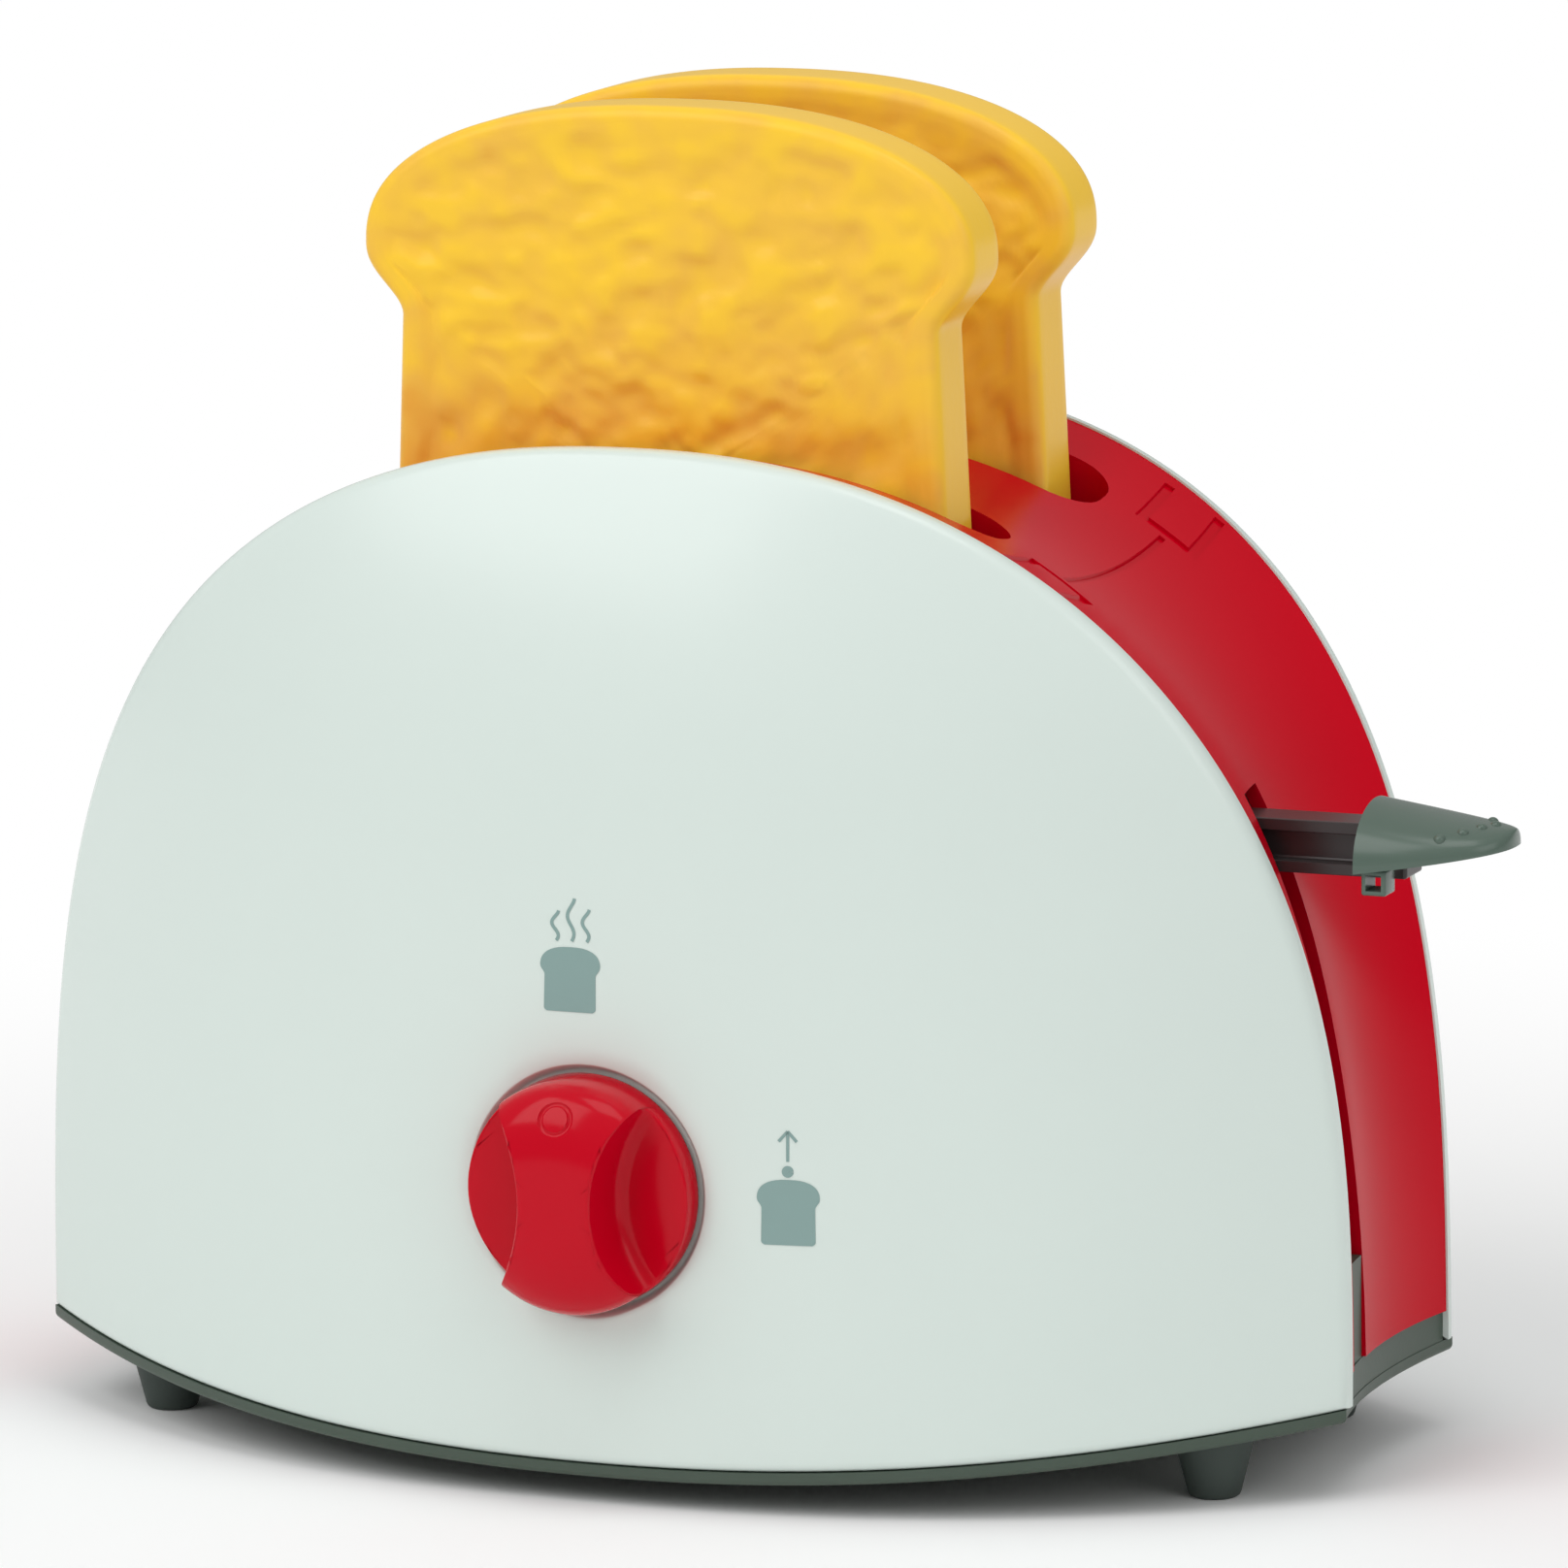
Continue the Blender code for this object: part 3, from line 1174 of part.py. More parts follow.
def make_arm(bench, slide):
    low_y, high_y = LEVER_Y - ARM_WIDTH / 2.0, LEVER_Y + ARM_WIDTH / 2.0
    foot = up(ARM_TOP - ARM_HEIGHT)
    arm = bench.piece("lever_arm", box("lever_arm", (ARM_ROOT_X, low_y, foot),
                                       (ARM_END_X, high_y, up(ARM_TOP))), ARM_GREY, slide)
    pocket = (ARM_WIDTH - ARM_WEB) / 2.0
    for label, low, high in (("front", low_y - OVERRUN, low_y + pocket),
                             ("back", high_y - pocket, high_y + OVERRUN)):
        cut_box(bench, arm, "arm_pocket_" + label,
                (ARM_POCKET_FROM_X, low, foot + ARM_FLANGE),
                (ARM_POCKET_TO_X, high, up(ARM_TOP) - ARM_FLANGE))
    x = ARM_ROOT_X + SEAT_LENGTH / 2.0
    bore = turned_z("arm_bore", x, LEVER_Y,
                    [(foot - OVERRUN, BOSS_HOLE_R), (screw_tip() + GAP, BOSS_HOLE_R)], BOSS_SIDES)
    cut(bench, arm, bench.tool("arm_bore", bore))
    round_edges(arm, ARM_EDGE_ROUND)

    mesh = screw("lever_screw", x, LEVER_Y, lever_screw_head(), LEVER_SCREW_LENGTH, 1.0)
    smooth(mesh)
    bench.piece("lever_screw", mesh, STEEL, slide)


def lever_screw_head():
    return up(seat_top() - SEAT_PLATE - SEAT_BOSS) - GAP - SCREW_HEAD


def screw_tip():
    return lever_screw_head() + SCREW_HEAD + LEVER_SCREW_LENGTH


def handle_section(share, inset):
    """Arch across the handle at a share of its length, from its front edge to its back edge."""
    x = HANDLE_INNER_X + (HANDLE_TIP_X - HANDLE_INNER_X) * share
    half = HANDLE_HALF_WIDTH * (1.0 - share ** HANDLE_PLAN_POWER) ** (1.0 / HANDLE_PLAN_POWER) - inset
    crest = HANDLE_CREST_Z - HANDLE_CREST_DROP * share - inset
    edge = HANDLE_EDGE_Z + HANDLE_EDGE_RISE * share
    points = []
    for i in range(HANDLE_ARCH_STEPS + 1):
        turn = HALF_TURN * i / HANDLE_ARCH_STEPS
        rise = max(math.sin(turn), 0.0) ** (2.0 / HANDLE_ARCH_POWER)
        points.append(Vector((x, HANDLE_Y - half * math.cos(turn), up(edge + (crest - edge) * rise))))
    return points


def handle_place(share, across):
    """Point on the handle's top at a share of its length and of its half width."""
    half = HANDLE_HALF_WIDTH * (1.0 - share ** HANDLE_PLAN_POWER) ** (1.0 / HANDLE_PLAN_POWER)
    crest = HANDLE_CREST_Z - HANDLE_CREST_DROP * share
    edge = HANDLE_EDGE_Z + HANDLE_EDGE_RISE * share
    rise = (1.0 - across * across) ** (1.0 / HANDLE_ARCH_POWER)
    return (HANDLE_INNER_X + (HANDLE_TIP_X - HANDLE_INNER_X) * share, HANDLE_Y + half * across,
            up(edge + (crest - edge) * rise))


def handle_core(name):
    """Solid under the middle of the handle's wall, for trimming what hangs from it."""
    loops = [handle_section(share, HANDLE_WALL / 2.0) for share in HANDLE_SECTION_SHARES]
    return loft(name, loops, first_cap=True, last_cap=True)


def make_handle(bench, slide):
    tip_z = up((HANDLE_CREST_Z - HANDLE_CREST_DROP + HANDLE_EDGE_Z + HANDLE_EDGE_RISE) / 2.0)
    loops = [handle_section(share, 0.0) for share in HANDLE_SECTION_SHARES]
    mesh = loft("lever_handle", loops, closed_loops=False, last_cap=Vector((HANDLE_TIP_X, HANDLE_Y, tip_z)),
                inside=(HANDLE_INNER_X, HANDLE_Y, up(HANDLE_EDGE_Z)))
    smooth(mesh)
    handle = bench.piece("lever_handle", mesh, LEVER_GREY, slide)
    solidify(handle, HANDLE_WALL)

    core = handle_core("handle_core")
    inner = ARM_WIDTH / 2.0 + GAP
    top = up(HANDLE_CREST_Z)
    for label, side in (("front", -1.0), ("back", 1.0)):
        low, high = sorted((LEVER_Y + side * inner, LEVER_Y + side * (inner + CHEEK_WALL)))
        cheek = bench.tool("cheek_" + label,
                           box("cheek_" + label, (HANDLE_INNER_X - OVERRUN, low,
                                                  up(HANDLE_EDGE_Z) + OVERRUN),
                               (HANDLE_INNER_X + CHEEK_LENGTH, high, top)))
        keep_common(bench, cheek, "cheek_core_" + label, core)
        join(bench, handle, cheek)
    for number, share in enumerate(HANDLE_RIB_SHARES):
        x = HANDLE_INNER_X + (HANDLE_TIP_X - HANDLE_INNER_X) * share
        name = "handle_rib" + str(number + 1)
        rib = bench.tool(name, box(name, (x - HANDLE_RIB_WALL / 2.0, HANDLE_Y - HANDLE_RIB_WIDTH / 2.0,
                                          up(HANDLE_EDGE_Z + HANDLE_EDGE_RISE * share) + OVERRUN),
                                   (x + HANDLE_RIB_WALL / 2.0, HANDLE_Y + HANDLE_RIB_WIDTH / 2.0, top)))
        keep_common(bench, rib, name + "_core", core)
        join(bench, handle, rib)

    for number, (share, across) in enumerate(GRIP_BUMPS):
        name = "grip_bump" + str(number + 1)
        x, y, z = handle_place(share, across)
        dome = turned_z(name, x, y, [(z - HANDLE_WALL / 2.0, GRIP_BUMP_R), (z, GRIP_BUMP_R),
                                     (z + GRIP_BUMP_RISE, GRIP_BUMP_R / 2.0)], GRIP_BUMP_SIDES)
        join(bench, handle, bench.tool(name, dome))

    half = EYELET_SIZE / 2.0
    hole = half - EYELET_WALL
    near = HANDLE_Y - HANDLE_HALF_WIDTH + EYELET_EDGE
    join_box(bench, handle, "eyelet", (EYELET_X - half, near, up(EYELET_Z) - half),
             (EYELET_X + half, near + EYELET_LENGTH, up(EYELET_Z) + half))
    strut = bench.tool("eyelet_strut", box("eyelet_strut",
                                           (EYELET_X - hole, near - OVERRUN, up(EYELET_Z) + hole),
                                           (EYELET_X + hole, near + CHEEK_WALL, top)))
    keep_common(bench, strut, "eyelet_strut_core", core)
    join(bench, handle, strut)
    cut_box(bench, handle, "eyelet_hole",
            (EYELET_X - hole, near - OVERRUN, up(EYELET_Z) - hole),
            (EYELET_X + hole, near + EYELET_LENGTH + OVERRUN, up(EYELET_Z) + hole))


# Mechanism plate

def plate_front():
    return PLATE_Y - PLATE_WALL / 2.0


def plate_back():
    return PLATE_Y + PLATE_WALL / 2.0


def plate_screw_y():
    return plate_front() - PLATE_FLANGE_DEPTH / 2.0


def bearing_back():
    return CAM_Y - CAM_WIDTH / 2.0 - GAP


def make_plate(bench):
    foot, top = up(PLATE_FOOT), up(PLATE_TOP)
    outline = [(PLATE_LEFT, foot), (PLATE_RIGHT, foot), (PLATE_RIGHT, top - PLATE_CHAMFER),
               (PLATE_RIGHT - PLATE_CHAMFER, top), (PLATE_LEFT + PLATE_CHAMFER, top),
               (PLATE_LEFT, top - PLATE_CHAMFER)]
    plate = bench.piece("mechanism_plate", prism_y("mechanism_plate", outline, plate_front(),
                                                   plate_back()), INNER_NATURAL)
    join_box(bench, plate, "plate_flange",
             (PLATE_LEFT, plate_front() - PLATE_FLANGE_DEPTH, foot),
             (PLATE_RIGHT, plate_back() - PLATE_WALL / 2.0, foot + PLATE_FLANGE_WALL))
    bearing = turned_y("bearing", 0.0, up(KNOB_Z),
                       [(plate_front() - BEARING_FRONT, BEARING_R), (bearing_back(), BEARING_R)],
                       FOOT_SIDES)
    join(bench, plate, bench.tool("bearing", bearing))
    bore = turned_y("bearing_bore", 0.0, up(KNOB_Z),
                    [(plate_front() - BEARING_FRONT - OVERRUN, SPINDLE_R + RUN_GAP),
                     (bearing_back() + OVERRUN, SPINDLE_R + RUN_GAP)], FOOT_SIDES)
    cut(bench, plate, bench.tool("bearing_bore", bore))
    boss = turned_y("latch_boss", LATCH_X, up(LATCH_Z),
                    [(PLATE_Y, LATCH_BOSS_R), (plate_back() + LATCH_BOSS, LATCH_BOSS_R)], BOSS_SIDES)
    join(bench, plate, bench.tool("latch_boss", boss))
    hole = turned_y("latch_hole", LATCH_X, up(LATCH_Z),
                    [(plate_front() - OVERRUN, LATCH_PIN_R + GAP),
                     (plate_back() + LATCH_BOSS + OVERRUN, LATCH_PIN_R + GAP)], BOSS_SIDES)
    cut(bench, plate, bench.tool("latch_hole", hole))
    for number, x in enumerate(PLATE_SCREW_XS):
        name = "plate_hole" + str(number + 1)
        drill = turned_z(name, x, plate_screw_y(), [(foot - OVERRUN, BOSS_HOLE_R),
                                                    (foot + PLATE_FLANGE_WALL + OVERRUN, BOSS_HOLE_R)],
                         BOSS_SIDES)
        cut(bench, plate, bench.tool(name, drill))

    head = foot + PLATE_FLANGE_WALL + GAP + SCREW_HEAD
    for number, x in enumerate(PLATE_SCREW_XS):
        name = "plate_screw" + str(number + 1)
        mesh = screw(name, x, plate_screw_y(), head, PLATE_SCREW_LENGTH, -1.0)
        smooth(mesh)
        bench.piece(name, mesh, STEEL)


# Knob, spindle and snail cam

def cam_lift():
    """Rise of the cam that swings the latch all the way."""
    return LATCH_X * math.sin(LATCH_SWING)


def cam_outline():
    """Snail with its low side down, rising anticlockwise, seen from the front, to +X."""
    points = []
    for i in range(CAM_STEPS + 1):
        share = i / CAM_STEPS
        radius = CAM_LOW_R + cam_lift() * share
        turn = -QUARTER_TURN + QUARTER_TURN * share
        points.append((radius * math.cos(turn), up(KNOB_Z) + radius * math.sin(turn)))
    points += arc(0.0, up(KNOB_Z), CAM_LOW_R, 0.0, 3.0 * QUARTER_TURN, CAM_STEPS * 2)[:-1]
    return points


def clip_outline():
    start = -QUARTER_TURN + CLIP_MOUTH / 2.0
    end = -QUARTER_TURN - CLIP_MOUTH / 2.0 + FULL_TURN
    inner = SPINDLE_R - CLIP_GROOVE + GAP / 2.0
    outer_arc = arc(0.0, up(KNOB_Z), CLIP_R, start, end, CLIP_STEPS)
    return outer_arc + arc(0.0, up(KNOB_Z), inner, end, start, CLIP_STEPS)


def knob_crown(radius):
    """How far the knob's front stands from the middle plane at a distance from its axis."""
    share = min(radius / KNOB_R, 1.0)
    swell = (1.0 - share ** KNOB_CROWN_POWER) ** (1.0 / KNOB_CROWN_POWER)
    return KNOB_EDGE_Y + (KNOB_FRONT_Y - KNOB_EDGE_Y) * swell


def marker_ring(name, radius, foot, top):
    """Round tool of the marker, tilted to the crown where the marker lies."""
    y = -knob_crown(MARKER_RISE)
    z = up(KNOB_Z) + MARKER_RISE
    mesh = turned_y(name, 0.0, z, [(y - top, radius), (y + foot, radius)], BOSS_SIDES)
    fall = knob_crown(MARKER_RISE - MARKER_R) - knob_crown(MARKER_RISE + MARKER_R)
    tilt = Matrix.Rotation(-math.atan2(fall, 2.0 * MARKER_R), 4, "X")
    middle = Vector((0.0, y, z))
    mesh.transform(Matrix.Translation(middle) @ tilt @ Matrix.Translation(-middle))
    return mesh


def make_knob(bench, turn):
    z = up(KNOB_Z)
    back = dish_floor() + KNOB_GAP
    stations = [(-knob_crown(KNOB_R * share), KNOB_R * share) for share in KNOB_CROWN_SHARES]
    drum = turned_y("knob", 0.0, z, stations + [(-back, KNOB_R)], KNOB_SIDES)
    knob = bench.piece("knob", drum, KNOB_RED, turn)
    smooth(drum)
    rim_r = KNOB_WAIST_HALF + KNOB_HOLLOW_R - KNOB_R
    for label, side in (("left", -1.0), ("right", 1.0)):
        hollow = turned_y("hollow_" + label, side * (KNOB_WAIST_HALF + KNOB_HOLLOW_R), z,
                          [(-KNOB_FRONT_Y - OVERRUN, KNOB_HOLLOW_R),
                           (-KNOB_HOLLOW_Y - KNOB_HOLLOW_ROUND, KNOB_HOLLOW_R),
                           (-KNOB_HOLLOW_Y, KNOB_HOLLOW_R - KNOB_HOLLOW_ROUND),
                           (-KNOB_RIM_Y, rim_r)], KNOB_SIDES)
        cut(bench, knob, bench.tool("hollow_" + label, hollow))
    socket = turned_y("knob_socket", 0.0, z, [(-KNOB_SOCKET_Y, SPINDLE_R + GAP),
                                              (-back + OVERRUN, SPINDLE_R + GAP)], BOSS_SIDES)
    cut(bench, knob, bench.tool("knob_socket", socket))
    ring = bench.tool("marker", marker_ring("marker", MARKER_R, MARKER_DEPTH, OVERRUN))
    cut(bench, ring, bench.tool("marker_centre", marker_ring("marker_centre", MARKER_INNER_R,
                                                             OVERRUN, 2.0 * OVERRUN)))
    cut(bench, knob, ring)
    round_edges(knob, KNOB_EDGE_ROUND, segments=1)

    groove_back = -(PLATE_Y - PLATE_WALL / 2.0 - BEARING_FRONT) + GAP
    groove_front = groove_back + CLIP_WIDTH + GAP + GAP
    groove_r = SPINDLE_R - CLIP_GROOVE
    shaft = turned_y("knob_spindle", 0.0, z,
                     [(-KNOB_SOCKET_Y + GAP, SPINDLE_R), (-groove_front, SPINDLE_R),
                      (-groove_front, groove_r), (-groove_back, groove_r), (-groove_back, SPINDLE_R),
                      (CAM_Y + CAM_WIDTH / 2.0, SPINDLE_R)], FOOT_SIDES)
    smooth(shaft)
    spindle = bench.piece("knob_spindle", shaft, STEEL, turn)
    cam = prism_y("cam", cam_outline(), CAM_Y - CAM_WIDTH / 2.0, CAM_Y + CAM_WIDTH / 2.0)
    join(bench, spindle, bench.tool("cam", cam))
    clip = prism_y("spindle_clip", clip_outline(), -groove_front + GAP, -groove_back - GAP)
    bench.piece("spindle_clip", clip, STEEL, turn)


# Latch, its pin and its spring

def latch_tilt():
    """From the place where the latch holds the carriage to its place of rest."""
    centre = Vector((LATCH_X, 0.0, up(LATCH_Z)))
    turn = Matrix.Rotation(LATCH_SWING, 4, "Y")
    return Matrix.Translation(centre) @ turn @ Matrix.Translation(-centre)


def pad_z():
    return KNOB_Z - CAM_LOW_R - cam_lift() - LATCH_PAD_GAP - LATCH_PAD_R


def on_hub(angle):
    return LATCH_X + LATCH_HUB_R * math.cos(angle), up(LATCH_Z) + LATCH_HUB_R * math.sin(angle)


def latch_outline():
    """Tail from its pad under the cam to the hub, and the arm up to the nose over the catch."""
    nose_foot = up(CATCH_TOP - CARRIAGE_TRAVEL + LATCH_PLAY)
    nose_tip = CATCH_X - CATCH_R
    right = math.acos((LATCH_ARM_RIGHT - LATCH_X) / LATCH_HUB_R)
    left = math.acos((LATCH_ARM_LEFT - LATCH_X) / LATCH_HUB_R)
    points = arc(LATCH_X, up(LATCH_Z), LATCH_HUB_R, LATCH_TAIL_LOW_TURN, right, LATCH_HUB_STEPS)
    points += [(LATCH_ARM_RIGHT, nose_foot + LATCH_NOSE), (nose_tip + LATCH_NOSE, nose_foot + LATCH_NOSE),
               (nose_tip, nose_foot + LATCH_NOSE / 2.0), (nose_tip, nose_foot),
               (LATCH_ARM_LEFT, nose_foot)]
    points += arc(LATCH_X, up(LATCH_Z), LATCH_HUB_R, left, LATCH_TAIL_HIGH_TURN, 2)
    points += arc(0.0, up(pad_z()), LATCH_PAD_R, 0.0, HALF_TURN + QUARTER_TURN, LATCH_PAD_STEPS)
    return points


def tail_underside(x):
    """Height of the tail's lower edge at the place x, in the latch's place of rest."""
    tilt = latch_tilt()
    hub_x, hub_z = on_hub(LATCH_TAIL_LOW_TURN)
    a = tilt @ Vector((0.0, 0.0, up(pad_z()) - LATCH_PAD_R))
    b = tilt @ Vector((hub_x, 0.0, hub_z))
    return a.z + (b.z - a.z) * (x - a.x) / (b.x - a.x)


def make_latch(bench, turn):
    tilt = latch_tilt()
    low, high = CAM_Y - LATCH_WIDTH / 2.0, CAM_Y + LATCH_WIDTH / 2.0
    body = prism_y("latch", latch_outline(), low, high)
    bore = turned_y("latch_bore", LATCH_X, up(LATCH_Z),
                    [(low - OVERRUN, LATCH_PIN_R + GAP), (high + OVERRUN, LATCH_PIN_R + GAP)],
                    BOSS_SIDES)
    body.transform(tilt)
    bore.transform(tilt)
    latch = bench.piece("latch", body, LATCH_GREY, turn)
    cut(bench, latch, bench.tool("latch_bore", bore))

    pin = turned_y("latch_pin", LATCH_X, up(LATCH_Z),
                   [(plate_front(), LATCH_PIN_R), (high + GAP, LATCH_PIN_R),
                    (high + GAP, LATCH_PIN_HEAD_R), (high + GAP + LATCH_PIN_HEAD, LATCH_PIN_HEAD_R)],
                   BOSS_SIDES)
    smooth(pin)
    bench.piece("latch_pin", pin, STEEL)
    stub_x = LATCH_SPRING_X + LATCH_SPRING_R
    spring = coil("latch_spring", LATCH_SPRING_X, CAM_Y, up(LATCH_SPRING_FOOT) + GAP,
                  tail_underside(stub_x) - GAP - LATCH_SPRING_WIRE_R, LATCH_SPRING_R,
                  LATCH_SPRING_WIRE_R, LATCH_SPRING_TURNS)
    smooth(spring)
    bench.piece("latch_spring", spring, STEEL)


def main():
    clear_scene()
    bench = Bench()
    make_shells(bench)
    make_band(bench)
    make_base(bench)
    make_feet(bench)
    make_base_screws(bench)
    make_slices(bench)
    slide = bench.pivot("carriage_slide", Vector((ROD_X, ROD_Y, up(SLIDER_FOOT))))
    make_carriage(bench, slide)
    make_arm(bench, slide)
    make_handle(bench, slide)
    make_guides(bench)
    make_plate(bench)
    make_knob(bench, bench.pivot("knob_turn", Vector((0.0, -KNOB_HOLLOW_Y, up(KNOB_Z)))))
    make_latch(bench, bench.pivot("latch_turn", Vector((LATCH_X, CAM_Y, up(LATCH_Z)))))


main()
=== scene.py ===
"""Toy toaster: bowed white shells round a red band, two slices of toast, a side lever and a
turning knob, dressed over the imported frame."""

import math

import bmesh
import bpy
from mathutils import Matrix, Vector, noise


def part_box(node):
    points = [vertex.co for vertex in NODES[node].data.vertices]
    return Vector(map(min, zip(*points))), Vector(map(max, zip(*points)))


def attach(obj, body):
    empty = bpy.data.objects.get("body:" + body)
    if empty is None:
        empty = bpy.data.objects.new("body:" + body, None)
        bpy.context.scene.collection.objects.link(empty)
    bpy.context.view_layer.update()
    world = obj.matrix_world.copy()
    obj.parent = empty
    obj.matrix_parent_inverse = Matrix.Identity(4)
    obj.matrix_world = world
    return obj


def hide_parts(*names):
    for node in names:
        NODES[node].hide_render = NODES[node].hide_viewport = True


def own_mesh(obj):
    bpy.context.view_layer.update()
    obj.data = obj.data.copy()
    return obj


bl_info = {
    "name": "Toy Toaster",
    "version": (1, 0, 0),
    "blender": (4, 5, 0),
    "location": "View3D > Sidebar > Toaster",
    "description": "Builds the visible pieces of a toy toaster round its packed frame",
    "category": "Object",
}

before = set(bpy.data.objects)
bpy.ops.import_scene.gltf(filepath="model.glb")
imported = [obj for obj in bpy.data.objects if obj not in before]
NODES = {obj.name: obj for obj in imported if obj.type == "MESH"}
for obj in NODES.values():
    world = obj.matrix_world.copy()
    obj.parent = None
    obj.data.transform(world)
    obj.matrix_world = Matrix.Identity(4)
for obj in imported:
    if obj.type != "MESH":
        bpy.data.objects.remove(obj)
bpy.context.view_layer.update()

MM = 0.001
FULL_TURN = 2.0 * math.pi
HALF_TURN = math.pi
QUARTER_TURN = 0.5 * math.pi

# The body's middle plane, middle length and foot line, read from the shells and the slices
SAG = 8.0 * MM
FRONT_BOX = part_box("front_shell")
BACK_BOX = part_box("back_shell")
SLICE_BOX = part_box("toast_front")
KNOB_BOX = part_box("knob")
MIDDLE = Vector(((FRONT_BOX[0].x + FRONT_BOX[1].x) / 2.0, (FRONT_BOX[0].y + BACK_BOX[1].y) / 2.0,
                 FRONT_BOX[0].z + SAG))
HALF_LENGTH = (FRONT_BOX[1].x - FRONT_BOX[0].x) / 2.0
HEIGHT = FRONT_BOX[1].z - MIDDLE.z
WELD = 0.002 * MM


# Sizes and colours that a user would change

def size(name, description, default):
    return bpy.props.FloatProperty(name=name, description=description, default=default, min=0.0,
                                   unit="LENGTH", precision=5)


def hex_colour(code):
    """Linear colour of an sRGB hex code."""
    parts = [int(code[i:i + 2], 16) / 255.0 for i in (1, 3, 5)]
    return tuple(c / 12.92 if c <= 0.04045 else ((c + 0.055) / 1.055) ** 2.4 for c in parts)


def colour(name, description, code):
    return bpy.props.FloatVectorProperty(name=name, description=description, subtype="COLOR", size=3,
                                         min=0.0, max=1.0, default=hex_colour(code))


class ToasterSizes(bpy.types.PropertyGroup):
    end_half_depth: size("End half depth", "Half depth of the body at its ends", 25.0 * MM)
    bow_depth: size("Bow", "How far each shell bows out at its middle", 38.0 * MM)
    top_tuck: size("Top tuck", "How far each shell curls in at the top", 16.5 * MM)
    face_lean: size("Face lean", "How far each shell leans in over its height", 2.5 * MM)
    shell_wall: size("Shell wall", "Wall of the white shells", 1.8 * MM)
    shell_corner: size("Shell corner", "Rounding of the shells' outer edge", 1.3 * MM)
    rim_depth: size("Rim depth", "How far a shell's rim turns in", 2.5 * MM)
    band_wall: size("Band wall", "Wall of the red band", 2.2 * MM)
    dish_radius: size("Dish radius", "Radius of the hollow behind the knob", 18.4 * MM)
    slot_width: size("Slot width", "Width of a toast slot", 16.5 * MM)
    slice_round: size("Slice rounding", "Rounding of a slice's edge", 2.0 * MM)
    slice_relief: size("Slice relief", "Height of the baked relief on a slice", 0.8 * MM)
    knob_waist: size("Knob waist", "Half width of the knob's grip at its middle", 5.8 * MM)
    print_film: size("Print film", "Thickness of the printed marks", 0.05 * MM)


class ToasterColours(bpy.types.PropertyGroup):
    shell: colour("Shell", "White of the shells", "#D6E2DC")
    band: colour("Band", "Red of the band", "#CA001C")
    knob: colour("Knob", "Red of the knob", "#C2001C")
    base: colour("Base", "Grey of the base", "#3F4E42")
    foot: colour("Feet", "Grey of the feet", "#3C4641")
    lever: colour("Lever", "Grey of the lever's handle", "#53645A")
    arm: colour("Arm", "Dark grey of the lever's arm", "#322A2A")
    toast: colour("Toast", "Yellow of the slices", "#F3BE48")
    # The browning colour also serves as painted shade in the hollows of the slices' relief
    toast_brown_and_shade: colour("Browning", "Orange brown of the slices' patches", "#DE8420")
    # The pale yellow colours the rim, and also serves as painted highlight on the crests of the slices'
    # relief
    toast_pale_and_highlight: colour("Crust light", "Pale yellow of the slices' raised places", "#FBCB3A")
    ink: colour("Ink", "Grey of the printed marks", "#84A09C")
    inner: colour("Inner mouldings", "Undyed colour of the parts inside", "#CFCCC0")


def sizes():
    return bpy.context.scene.toaster_sizes


def colours():
    return bpy.context.scene.toaster_colours


# Shape of the body

ARCH_POWER_X = 2.28
ARCH_POWER_Z = 2.81
BOW_POWER = 2.4
TUCK_POWER = 3.9


def at(x, y, z):
    """Point given from the body's middle, in the row frame."""
    return MIDDLE + Vector((x, y, z))


def arch(angle, inset=0.0):
    c, s = math.cos(angle), max(math.sin(angle), 0.0)
    return ((HALF_LENGTH - inset) * math.copysign(abs(c) ** (2.0 / ARCH_POWER_X), c),
            (HEIGHT - inset) * s ** (2.0 / ARCH_POWER_Z))


def arch_height(x):
    return HEIGHT * (1.0 - (abs(x) / HALF_LENGTH) ** ARCH_POWER_X) ** (1.0 / ARCH_POWER_Z)


def face_depth(x, z):
    """Distance of a shell's outer face from the middle plane."""
    s = sizes()
    across = min(abs(x) / HALF_LENGTH, 1.0)
    rise = min(max(z, 0.0) / HEIGHT, 1.0)
    return (s.end_half_depth + s.bow_depth * (1.0 - across ** BOW_POWER)
            - s.top_tuck * rise ** TUCK_POWER - s.face_lean * rise)


def edge_sag(x):
    return SAG * (1.0 - min(abs(x) / HALF_LENGTH, 1.0) ** 2)


def ease(low, high, value):
    """Smooth step from 0 at low to 1 at high."""
    share = min(max((value - low) / (high - low), 0.0), 1.0)
    return share * share * (3.0 - 2.0 * share)


# Work at the bench

def alone():
    """Object mode with nothing selected."""
    if bpy.context.object is not None and bpy.context.object.mode != "OBJECT":
        bpy.ops.object.mode_set(mode="OBJECT")
    bpy.ops.object.select_all(action="DESELECT")


def take(obj):
    alone()
    obj.select_set(True)
    bpy.context.view_layer.objects.active = obj


def fresh(name):
    """The primitive that was just added, under its name."""
    obj = bpy.context.object
    obj.name = name
    obj.data.name = name
    return obj


def edit_all():
    bpy.ops.object.mode_set(mode="EDIT")
    bpy.ops.mesh.select_all(action="SELECT")


def close_up(outwards=True):
    """Merges doubles and turns all faces outwards, then goes back to object mode."""
    bpy.ops.mesh.select_all(action="SELECT")
    bpy.ops.mesh.remove_doubles(threshold=WELD)
    if outwards:
        bpy.ops.mesh.normals_make_consistent(inside=False)
    bpy.ops.object.mode_set(mode="OBJECT")


